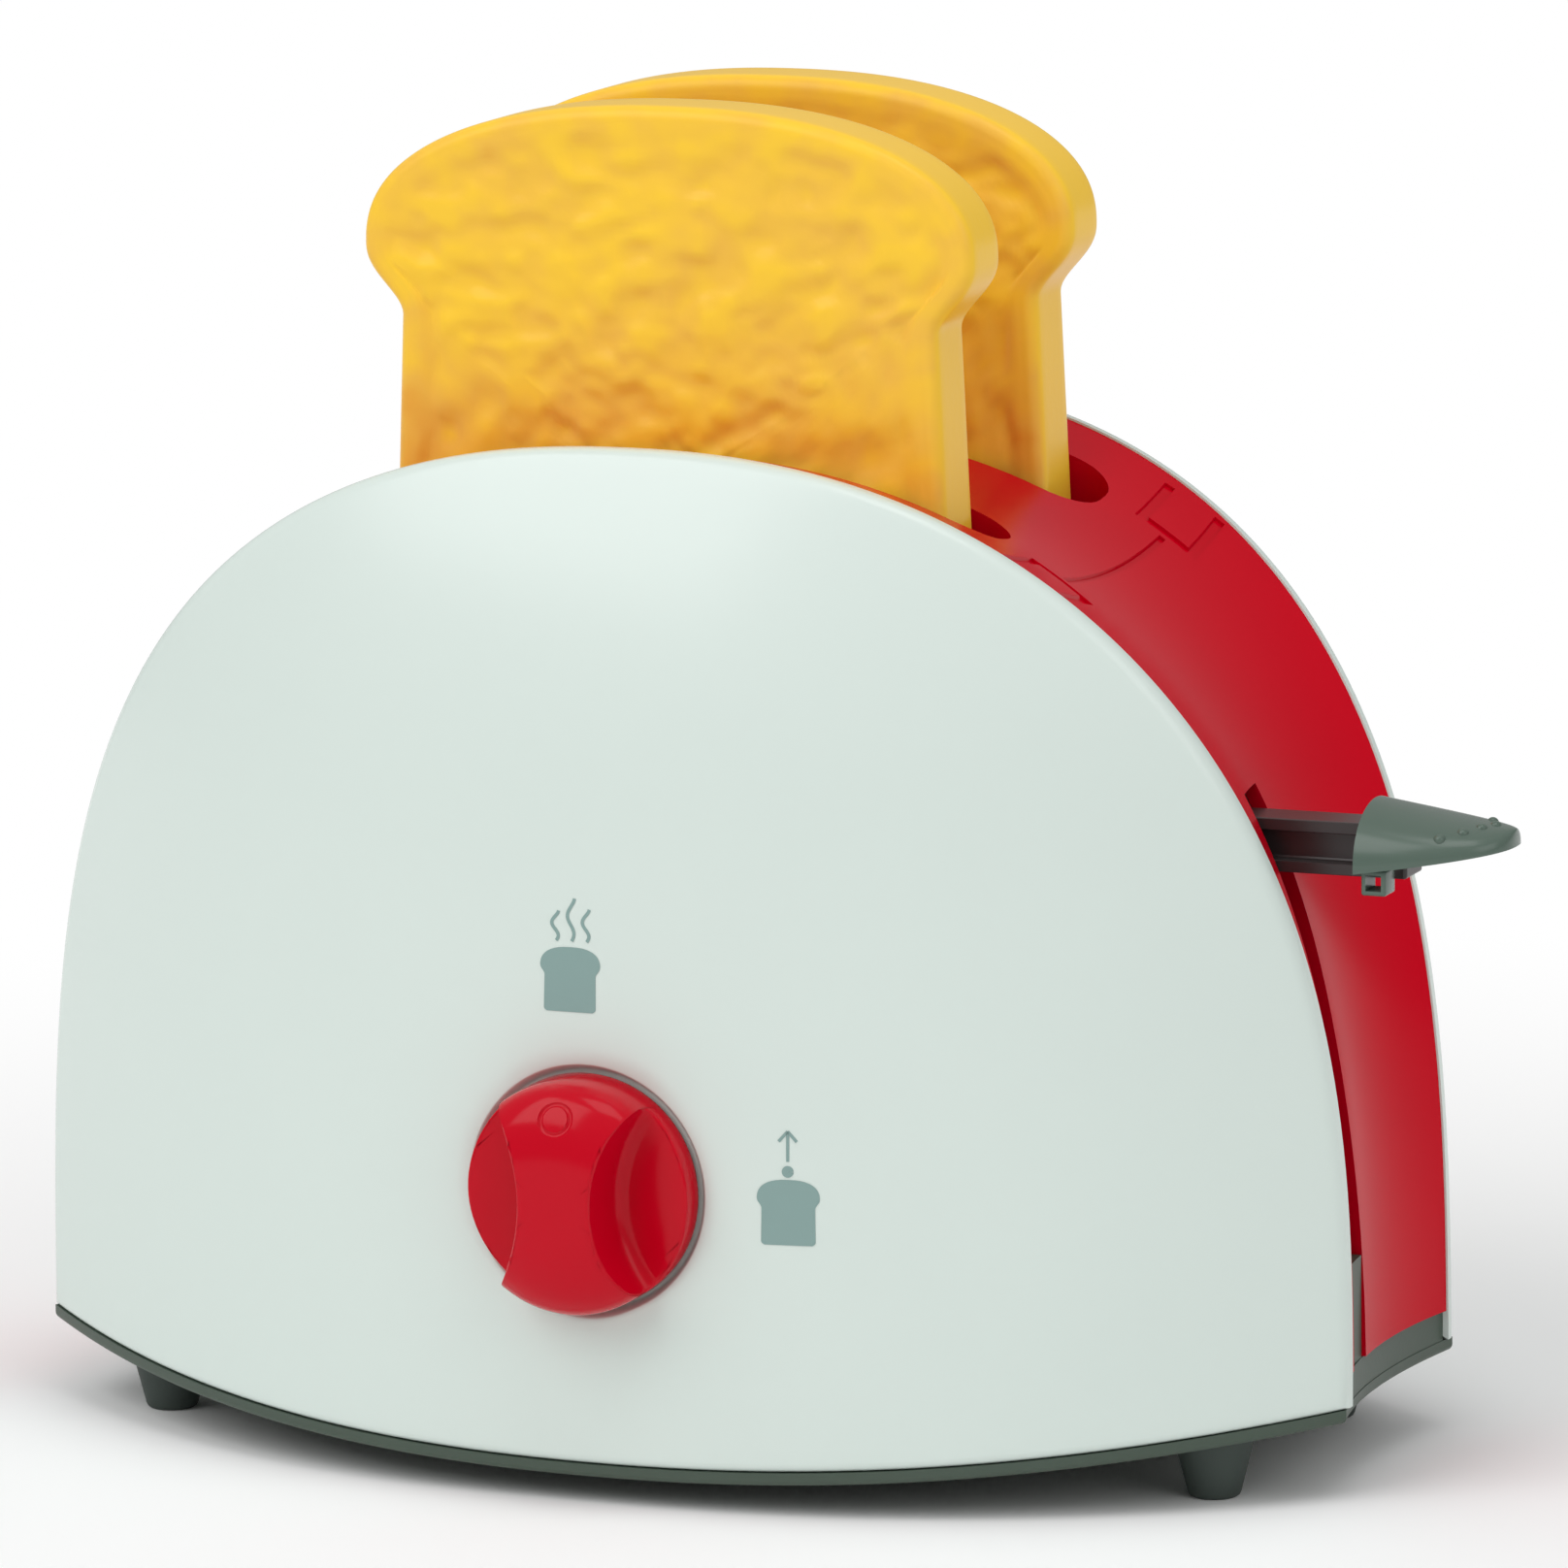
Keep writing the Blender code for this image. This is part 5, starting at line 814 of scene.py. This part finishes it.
class MakeKnob(bpy.types.Operator):
    """Turn the red knob, with a hollow on each side of its grip and a marker ring"""
    bl_idname = "toaster.knob"
    bl_label = "Knob"

    def execute(self, context):
        shares = (1.0, 0.996, 0.988, 0.975, 0.955, 0.93, 0.90, 0.87, 0.835, 0.80, 0.76, 0.72, 0.68, 0.64,
                  0.60, 0.56, 0.52, 0.46, 0.38, 0.28, 0.15, 0.01)
        stations = [(KNOB_BACK, KNOB_RADIUS - 0.4 * MM), (KNOB_BACK + 0.4 * MM, KNOB_RADIUS)]
        stations += [(knob_crown(KNOB_RADIUS * share), KNOB_RADIUS * share) for share in shares]
        knob = shift(turned("red_knob", stations, 96, forward=True), at(0.0, 0.0, KNOB_HEIGHT))
        waist = sizes().knob_waist
        bowl = [(65.8, 10.2), (65.4, 13.0), (64.95, 17.0), (64.65, 19.6), (64.8, 20.8), (65.4, 21.6),
                (66.3, 22.0), (77.0, 22.0)]
        for side in (-1.0, 1.0):
            hollow = turned("hollow", [(h * MM, r * MM) for h, r in bowl], 128, forward=True)
            carve(knob, shift(hollow, at(side * (waist + HOLLOW_RADIUS), 0.0, KNOB_HEIGHT)))
        modify(knob, "WELD", merge_threshold=0.06 * MM)
        soften(knob, 0.4 * MM, 38.0, 3, clamp=False)
        alone()
        fall = knob_crown(MARKER_RISE - 2.4 * MM) - knob_crown(MARKER_RISE + 2.4 * MM)
        bpy.ops.mesh.primitive_torus_add(major_radius=2.35 * MM, minor_radius=0.5 * MM,
                                         major_segments=48, minor_segments=12,
                                         rotation=(QUARTER_TURN - math.atan2(fall, 4.8 * MM), 0.0, 0.0),
                                         location=at(0.0, -knob_crown(MARKER_RISE) - 0.1 * MM,
                                                     KNOB_HEIGHT + MARKER_RISE))
        ring = fresh("marker")
        settle(ring)
        carve(knob, ring)
        smooth(knob, 36.0)
        place(knob, "knob", "knob_red", FINISHES["knob_red"], "knob")
        return {"FINISHED"}


# Lever's handle

HANDLE_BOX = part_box("lever_handle")
HANDLE_INNER = HANDLE_BOX[0].x - MIDDLE.x
HANDLE_LENGTH = HANDLE_BOX[1].x - HANDLE_BOX[0].x
HANDLE_Y = -15.0 * MM
HANDLE_HALF_WIDTH = 10.8 * MM
HANDLE_WALL = 1.6 * MM
GRIP_BUMPS = ((0.57, -0.80), (0.70, -0.62), (0.79, -0.34), (0.85, 0.0), (0.79, 0.34))


def handle_point(share, across_turn, inset=0.0):
    """Point of the handle's arched top at a share of its length, half a turn from edge to edge."""
    half = HANDLE_HALF_WIDTH * (1.0 - share ** 2.5) ** (1.0 / 2.5) - inset
    crest, edge = (90.5 - 3.5 * share) * MM - inset, (80.8 + 3.6 * share) * MM
    rise = max(math.sin(across_turn), 0.0) ** (2.0 / 2.4)
    return at(HANDLE_INNER + HANDLE_LENGTH * share, HANDLE_Y - max(half, 0.0) * math.cos(across_turn),
              edge + (crest - edge) * rise)


class MakeHandle(bpy.types.Operator):
    """Arch the lever's handle, with its eyelet, ribs and grip bumps"""
    bl_idname = "toaster.handle"
    bl_label = "Lever handle"

    def execute(self, context):
        rows = [[handle_point(math.sin(QUARTER_TURN * j / 36), HALF_TURN * i / 48) for i in range(49)]
                for j in range(37)]
        handle = surface("lever_paddle", rows, facing=(0.0, 0.0, 1.0))
        thicken(handle, HANDLE_WALL)

        core_rows = [[handle_point(share, HALF_TURN * i / 24, HANDLE_WALL / 2.0) for i in range(25)]
                     for share in (0.0, 0.2, 0.4, 0.55, 0.7, 0.8, 0.88, 0.94)]
        arm_low, arm_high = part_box("lever_arm")
        inner = (arm_high.y - arm_low.y) / 2.0 + 0.3 * MM
        arm_y = (arm_low.y + arm_high.y) / 2.0 - MIDDLE.y
        hung = []
        for side in (-1.0, 1.0):
            low, high = sorted((arm_y + side * inner, arm_y + side * (inner + 1.2 * MM)))
            hung.append(block("cheek", at(HANDLE_INNER - MM, low, 81.8 * MM),
                              at(HANDLE_INNER + 7.0 * MM, high, 90.5 * MM)))
        for share in (0.40, 0.70):
            x = HANDLE_INNER + HANDLE_LENGTH * share
            hung.append(block("handle_rib", at(x - 0.6 * MM, HANDLE_Y - 3.5 * MM,
                                               (81.8 + 3.6 * share) * MM),
                              at(x + 0.6 * MM, HANDLE_Y + 3.5 * MM, 90.5 * MM)))
        near = HANDLE_Y - HANDLE_HALF_WIDTH + 0.8 * MM
        eyelet_x, eyelet_z = HANDLE_INNER + 2.9 * MM, 79.5 * MM
        hung.append(block("eyelet_strut", at(eyelet_x - 1.2 * MM, near - MM, eyelet_z + 1.2 * MM),
                          at(eyelet_x + 1.2 * MM, near + 1.2 * MM, 90.5 * MM)))
        for part in hung:
            core = closed_form("handle_core", [row + [row[0]] for row in core_rows])
            modify(part, "BOOLEAN", object=core, operation="INTERSECT", solver="EXACT")
            bpy.data.objects.remove(core, do_unlink=True)
            weld_on(handle, part)

        eyelet = block("eyelet", at(eyelet_x - 1.9 * MM, near, eyelet_z - 1.9 * MM),
                       at(eyelet_x + 1.9 * MM, near + 4.6 * MM, eyelet_z + 1.9 * MM))
        soften(eyelet, 0.35 * MM, 40.0, 3)
        weld_on(handle, eyelet)
        carve(handle, block("eyelet_hole", at(eyelet_x - 1.2 * MM, near - MM, eyelet_z - 1.2 * MM),
                            at(eyelet_x + 1.2 * MM, near + 5.6 * MM, eyelet_z + 1.2 * MM)))
        for share, across in GRIP_BUMPS:
            turn = math.acos(-across)
            centre = handle_point(share, turn)
            alone()
            bpy.ops.mesh.primitive_uv_sphere_add(segments=20, ring_count=10, radius=0.95 * MM,
                                                 location=centre - Vector((0.0, 0.0, 0.45 * MM)))
            bump = fresh("grip_bump")
            settle(bump)
            weld_on(handle, bump)
        smooth(handle, 36.0)
        place(handle, "carriage", "lever_grey", FINISHES["lever_grey"], "lever_handle")
        return {"FINISHED"}


# Base lip and feet

LIP_COLUMNS = 110
END_DIP = 3.0 * MM
SLOT_STOP_TOP = 20.0 * MM


def lip_ring(inset, z):
    """Closed loop round the body's foot: along both bowed faces and the dipped ends."""
    reach = HALF_LENGTH - inset
    ring = []
    for side in (-1.0, 1.0):
        for i in range(LIP_COLUMNS + 1):
            x = -side * reach * math.sin(QUARTER_TURN * (-1.0 + 2.0 * i / LIP_COLUMNS))
            ring.append(at(x, side * (face_depth(x, 0.0) - inset), z - edge_sag(x)))
        end_half = face_depth(reach, 0.0) - inset
        for i in range(1, 24):
            across = -1.0 + 2.0 * i / 24
            x = -side * (reach - END_DIP * (1.0 - across * across))
            ring.append(at(x, -side * across * end_half, z - edge_sag(x)))
    return ring + [ring[0]]


class MakeBaseLip(bpy.types.Operator):
    """Run the grey base's rounded lip under the shells, and its ends between them"""
    bl_idname = "toaster.base_lip"
    bl_label = "Base lip"

    def execute(self, context):
        rows = [lip_ring(2.4 * MM, -0.06 * MM), lip_ring(0.2 * MM, -0.06 * MM)]
        rows.append(lip_ring(0.2 * MM, -1.2 * MM))
        for k in range(1, 6):
            turn = QUARTER_TURN * k / 5
            rows.append(lip_ring((0.2 + 0.85 * (1.0 - math.cos(turn))) * MM,
                                 (-1.2 - 0.85 * math.sin(turn)) * MM))
        rows += [lip_ring(2.4 * MM, -2.05 * MM), lip_ring(2.4 * MM, -0.06 * MM)]
        lip = surface("base_lip", rows)
        half = sizes().end_half_depth - sizes().rim_depth - BAND_GAP
        for side in (-1.0, 1.0):
            outline = []
            for i in range(33):
                y = half * (-1.0 + 2.0 * i / 32)
                dip = END_DIP * (1.0 - (y / sizes().end_half_depth) ** 2)
                outline.append((side * (HALF_LENGTH - 0.3 * MM - dip), y))
            outline += [(side * (HALF_LENGTH - 9.0 * MM), half), (side * (HALF_LENGTH - 9.0 * MM), -half)]
            weld_on(lip, upright("base_end", outline, -1.2 * MM, BAND_FOOT - 0.15 * MM))
        low, high, top = LEVER_SLOT
        outline = []
        for i in range(9):
            y = low + 0.2 * MM + (high - low - 0.4 * MM) * i / 8
            outline.append((HALF_LENGTH - 0.9 * MM - valley(y / sizes().end_half_depth, 0.0), y))
        back = HALF_LENGTH - 8.0 * MM
        outline += [(back, high - 0.2 * MM), (back, low + 0.2 * MM)]
        weld_on(lip, upright("slot_stop", outline, -1.2 * MM, SLOT_STOP_TOP))
        smooth(lip, 45.0)
        place(lip, "root", "base_grey", FINISHES["base_grey"])
        return {"FINISHED"}


FEET = ("foot_left_front", "foot_left_back", "foot_right_front", "foot_right_back")


class MakeFeet(bpy.types.Operator):
    """Turn the four rubber feet"""
    bl_idname = "toaster.feet"
    bl_label = "Rubber feet"

    def execute(self, context):
        profile = [(0.0, 3.1), (0.06, 3.5), (0.28, 3.82), (0.7, 4.03), (9.0, 6.08), (9.35, 6.1),
                   (9.38, 5.7), (9.38, 2.4), (12.7, 2.4)]
        first = turned("rubber_" + FEET[0], [(h * MM, r * MM) for h, r in profile], 64)
        smooth(first, 40.0)
        feet = [first]
        for name in FEET[1:]:
            take(first)
            bpy.ops.object.duplicate()
            feet.append(fresh("rubber_" + name))
        for foot, name in zip(feet, FEET):
            low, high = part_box(name)
            shift(foot, ((low.x + high.x) / 2.0, (low.y + high.y) / 2.0, low.z))
            place(foot, "root", "foot_grey", FINISHES["foot_grey"], name)
        return {"FINISHED"}


# Springs

COIL_STEPS = 28
WIRE_SIDES = 10


def make_coil(name, node, radius, wire, turns):
    """Compression spring in a packed one's place: a closed turn at each end, even curls between."""
    low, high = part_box(node)
    centre = Vector((high.x - radius - wire, (low.y + high.y) / 2.0, low.z))
    closed = 2.2 * wire
    open_pitch = (high.z - low.z - 2.0 * wire - 2.0 * closed) / (turns - 2)
    loops = []
    for i in range(turns * COIL_STEPS + 1):
        turn = i / COIL_STEPS
        climb = closed * (min(turn, 1.0) + max(turn - turns + 1.0, 0.0))
        climb += open_pitch * min(max(turn - 1.0, 0.0), turns - 2.0)
        out = Vector((math.cos(FULL_TURN * turn), math.sin(FULL_TURN * turn), 0.0))
        core = centre + out * radius + Vector((0.0, 0.0, wire + climb))
        loops.append([core + wire * (out * math.cos(FULL_TURN * j / WIRE_SIDES)
                                     + Vector((0.0, 0.0, math.sin(FULL_TURN * j / WIRE_SIDES))))
                      for j in range(WIRE_SIDES + 1)])
    coil = closed_form(name, loops)
    smooth(coil, 60.0)
    place(coil, "root", "steel", FINISHES["steel"], node)
    return coil, centre, high.z - low.z


class MakeSprings(bpy.types.Operator):
    """Wind the lift spring and the latch's spring"""
    bl_idname = "toaster.springs"
    bl_label = "Springs"

    def execute(self, context):
        coil, foot, length = make_coil("lift_coil", "lift_spring", 4.0 * MM, 0.45 * MM, 11)
        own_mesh(coil)
        coil, foot, length = make_coil("latch_coil", "latch_spring", 2.2 * MM, 0.35 * MM, 6)
        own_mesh(coil)
        return {"FINISHED"}


# Printed marks: a slice of toast with warm air, and a slice with an arrow up

def on_face(x, z):
    point = shell_point(x, z, -1.0)
    point.y -= 0.03 * MM
    return point


def stroke(points, width):
    """Printed line through points, laid on the front shell."""
    rows = [[], [], []]
    count = len(points)
    for i, (x, z) in enumerate(points):
        (ax, az), (bx, bz) = points[max(i - 1, 0)], points[min(i + 1, count - 1)]
        length = math.hypot(bx - ax, bz - az)
        nx, nz = -(bz - az) / length, (bx - ax) / length
        for row, share in zip(rows, (-0.5, 0.0, 0.5)):
            row.append(on_face(x + nx * width * share, z + nz * width * share))
    return surface("print_stroke", rows, facing=(0.0, -1.0, 0.0))


def bread_width(share):
    """Half width of the printed slice at a share of its height, where 1 is its widest."""
    if share > 0.70:
        return max(1.0 - ((share - 0.70) / 0.30) ** 2.5, 0.0) ** (1.0 / 2.5)
    neck = 0.85 + 0.03 * (0.5 - share) + 0.15 * ease(0.56, 0.70, share)
    return neck - 0.10 * (1.0 - min(share / 0.05, 1.0)) ** 2


def printed_slice(x, z, width, height):
    rows = []
    for j in range(41):
        share = j / 40 if j < 30 else 0.75 + 0.25 * math.sin(QUARTER_TURN * (j - 30) / 10)
        half = bread_width(share) * width / 2.0
        rows.append([on_face(x + half * (-1.0 + i / 10), z + height * share) for i in range(21)])
    return surface("print_slice", rows, facing=(0.0, -1.0, 0.0))


class PrintMarks(bpy.types.Operator):
    """Print the two plain setting marks beside the knob"""
    bl_idname = "toaster.marks"
    bl_label = "Printed marks"

    def execute(self, context):
        films = [printed_slice(-2.5 * MM, 60.1 * MM, 9.6 * MM, 9.6 * MM)]
        for k, (x, low, high) in enumerate(((-5.0, 70.6, 75.0), (-2.5, 70.6, 76.9), (-0.1, 70.6, 75.4))):
            points = []
            for i in range(25):
                share = i / 24
                points.append(((x + 0.55 * math.sin(FULL_TURN * share * 1.15 + 0.4)) * MM,
                               (low + (high - low) * share) * MM))
            films.append(stroke(points, 0.5 * MM))
        films.append(printed_slice(31.45 * MM, 27.1 * MM, 9.4 * MM, 9.8 * MM))
        dot = [((31.4 + 0.45 * math.cos(FULL_TURN * i / 24)) * MM,
                (38.1 + 0.45 * math.sin(FULL_TURN * i / 24)) * MM) for i in range(25)]
        films.append(stroke(dot, 0.86 * MM))
        films.append(stroke([(31.4 * MM, (39.6 + 0.55 * i) * MM) for i in range(9)], 0.45 * MM))
        films.append(stroke([((30.05 + 0.169 * i) * MM, (42.6 + 0.19 * i) * MM) for i in range(9)],
                            0.45 * MM))
        films.append(stroke([((32.75 - 0.169 * i) * MM, (42.6 + 0.19 * i) * MM) for i in range(9)],
                            0.45 * MM))
        take(films[0])
        for film in films[1:]:
            film.select_set(True)
        bpy.ops.object.join()
        marks = fresh("printed_marks")
        modify(marks, "SOLIDIFY", thickness=sizes().print_film, offset=1.0)
        smooth(marks, 40.0)
        place(marks, "root", "base_grey", FINISHES["print_ink"])
        return {"FINISHED"}


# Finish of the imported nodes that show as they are

NODE_FINISHES = {
    "base_tray": "base_grey", "lever_arm": "arm_dark", "carriage": "inner_natural",
    "mechanism_plate": "inner_natural", "latch": "latch_grey",
}


class FinishFrame(bpy.types.Operator):
    """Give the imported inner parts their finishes"""
    bl_idname = "toaster.frame_finish"
    bl_label = "Inner parts"

    def execute(self, context):
        for name, node in NODES.items():
            finish = FINISHES[NODE_FINISHES.get(name, "steel")]
            if not node.material_slots:
                node.data.materials.append(finish)
            for entry in node.material_slots:
                entry.material = finish
        return {"FINISHED"}


# Stage, lamps and camera

def studio_paper():
    """White backdrop paper: matt, with the object's shadow near it and plain white beyond."""
    made, tree, shader, where = new_finish("white_backdrop_paper", Roughness=0.9)
    blend = mottled(tree, where, hex_colour("#F8F8F8"), hex_colour("#FAFAFA"), 0.5)
    tree.links.new(blend, shader.inputs["Base Color"])
    light = add(tree, "ShaderNodeLightPath")
    seen = add(tree, "ShaderNodeMath", {0: light.outputs["Is Camera Ray"],
                                        1: light.outputs["Is Glossy Ray"]}, operation="ADD")
    seen = add(tree, "ShaderNodeMath", {0: seen.outputs[0], 1: light.outputs["Is Transmission Ray"]},
               operation="ADD", use_clamp=True)
    away = add(tree, "ShaderNodeVectorMath", {0: where}, operation="LENGTH")
    far = add(tree, "ShaderNodeMapRange", {"Value": away.outputs["Value"], "From Min": 0.12,
                                           "From Max": 0.42}, interpolation_type="SMOOTHSTEP")
    share = add(tree, "ShaderNodeMath", {0: far.outputs["Result"], 1: seen.outputs[0]},
                operation="MULTIPLY")
    white = add(tree, "ShaderNodeEmission", {"Color": (1.0, 1.0, 1.0, 1.0), "Strength": 1.0})
    both = add(tree, "ShaderNodeMixShader", {0: share.outputs[0], 1: shader.outputs["BSDF"],
                                             2: white.outputs["Emission"]})
    tree.links.new(both.outputs["Shader"], tree.nodes["Material Output"].inputs["Surface"])
    return made


class SetStage(bpy.types.Operator):
    """Set the pale floor, the soft lamps and the camera"""
    bl_idname = "toaster.stage"
    bl_label = "Stage"

    def execute(self, context):
        scene = context.scene
        alone()
        bpy.ops.mesh.primitive_plane_add(size=24.0)
        floor = fresh("studio_floor")
        floor.data.materials.append(studio_paper())

        world = bpy.data.worlds.new("soft_studio")
        scene.world = world
        world.use_nodes = True
        tree = world.node_tree
        way = add(tree, "ShaderNodeSeparateXYZ",
                  {0: add(tree, "ShaderNodeTexCoord").outputs["Generated"]})
        level = add(tree, "ShaderNodeMapRange", {"Value": way.outputs["Z"], "From Min": 0.0,
                                                 "From Max": 0.9, "To Min": 0.33, "To Max": 0.66})
        tree.links.new(level.outputs["Result"], tree.nodes["Background"].inputs["Strength"])
        tree.nodes["Background"].inputs["Color"].default_value = (1.0, 1.0, 1.0, 1.0)
        for name, place_at, size_m, power in (("key", (-1.3, -1.9, 2.2), 2.2, 37.5), ("top", (0.25, -0.35, 1.5), 0.7, 3.6),
                                              ("side", (2.0, -0.9, 1.2), 1.4, 7.5)):
            alone()
            bpy.ops.object.light_add(type="AREA", location=place_at)
            lamp = bpy.context.object
            lamp.name = name + "_lamp"
            lamp.data.shape = "SQUARE"
            lamp.data.size = size_m
            lamp.data.energy = power
            lamp.rotation_euler = (Vector((0.0, 0.0, 0.09)) - Vector(place_at)).to_track_quat(
                "-Z", "Y").to_euler()

        azimuth, elevation, roll = math.radians(22.0), math.radians(10.32), math.radians(-0.70)
        ahead = Vector((-math.sin(azimuth) * math.cos(elevation),
                        math.cos(azimuth) * math.cos(elevation), -math.sin(elevation)))
        level = Vector((math.cos(azimuth), math.sin(azimuth), 0.0))
        rise = level.cross(ahead)
        right = level * math.cos(roll) + rise * math.sin(roll)
        up = rise * math.cos(roll) - level * math.sin(roll)
        alone()
        bpy.ops.object.camera_add()
        camera = bpy.context.object
        camera.name = "photo_camera"
        spot = Vector((0.5815, -1.4437, 0.3832))
        camera.matrix_world = Matrix(((right.x, up.x, -ahead.x, spot.x), (right.y, up.y, -ahead.y, spot.y),
                                      (right.z, up.z, -ahead.z, spot.z), (0.0, 0.0, 0.0, 1.0)))
        camera.data.sensor_width = 36.0
        camera.data.lens = 10767.8 / 1616.0 * 36.0
        camera.data.clip_end = 50.0
        scene.camera = camera
        scene.view_settings.view_transform = "Standard"
        return {"FINISHED"}


OPERATORS = (FinishFrame, MakeShells, MakeBand, MakeSlices, MakeKnob, MakeHandle, MakeBaseLip, MakeFeet,
             MakeSprings, PrintMarks, SetStage)


class ToasterPanel(bpy.types.Panel):
    """Sizes, colours and steps of the toaster"""
    bl_idname = "VIEW3D_PT_toaster"
    bl_label = "Toaster"
    bl_space_type = "VIEW_3D"
    bl_region_type = "UI"
    bl_category = "Toaster"

    def draw(self, context):
        layout = self.layout
        for group in (context.scene.toaster_sizes, context.scene.toaster_colours):
            box = layout.box()
            for name in group.__annotations__:
                box.prop(group, name)
        for operator in OPERATORS:
            layout.operator(operator.bl_idname)


CLASSES = (ToasterSizes, ToasterColours) + OPERATORS + (ToasterPanel,)


def register():
    for cls in CLASSES:
        bpy.utils.register_class(cls)
    bpy.types.Scene.toaster_sizes = bpy.props.PointerProperty(type=ToasterSizes)
    bpy.types.Scene.toaster_colours = bpy.props.PointerProperty(type=ToasterColours)


def unregister():
    del bpy.types.Scene.toaster_colours
    del bpy.types.Scene.toaster_sizes
    for cls in reversed(CLASSES):
        bpy.utils.unregister_class(cls)


def main():
    register()
    make_finishes()
    bpy.ops.toaster.frame_finish()
    bpy.ops.toaster.shells()
    bpy.ops.toaster.band()
    bpy.ops.toaster.slices()
    bpy.ops.toaster.knob()
    bpy.ops.toaster.handle()
    bpy.ops.toaster.base_lip()
    bpy.ops.toaster.feet()
    bpy.ops.toaster.springs()
    bpy.ops.toaster.marks()
    bpy.ops.toaster.stage()


if __name__ == "__main__":
    main()
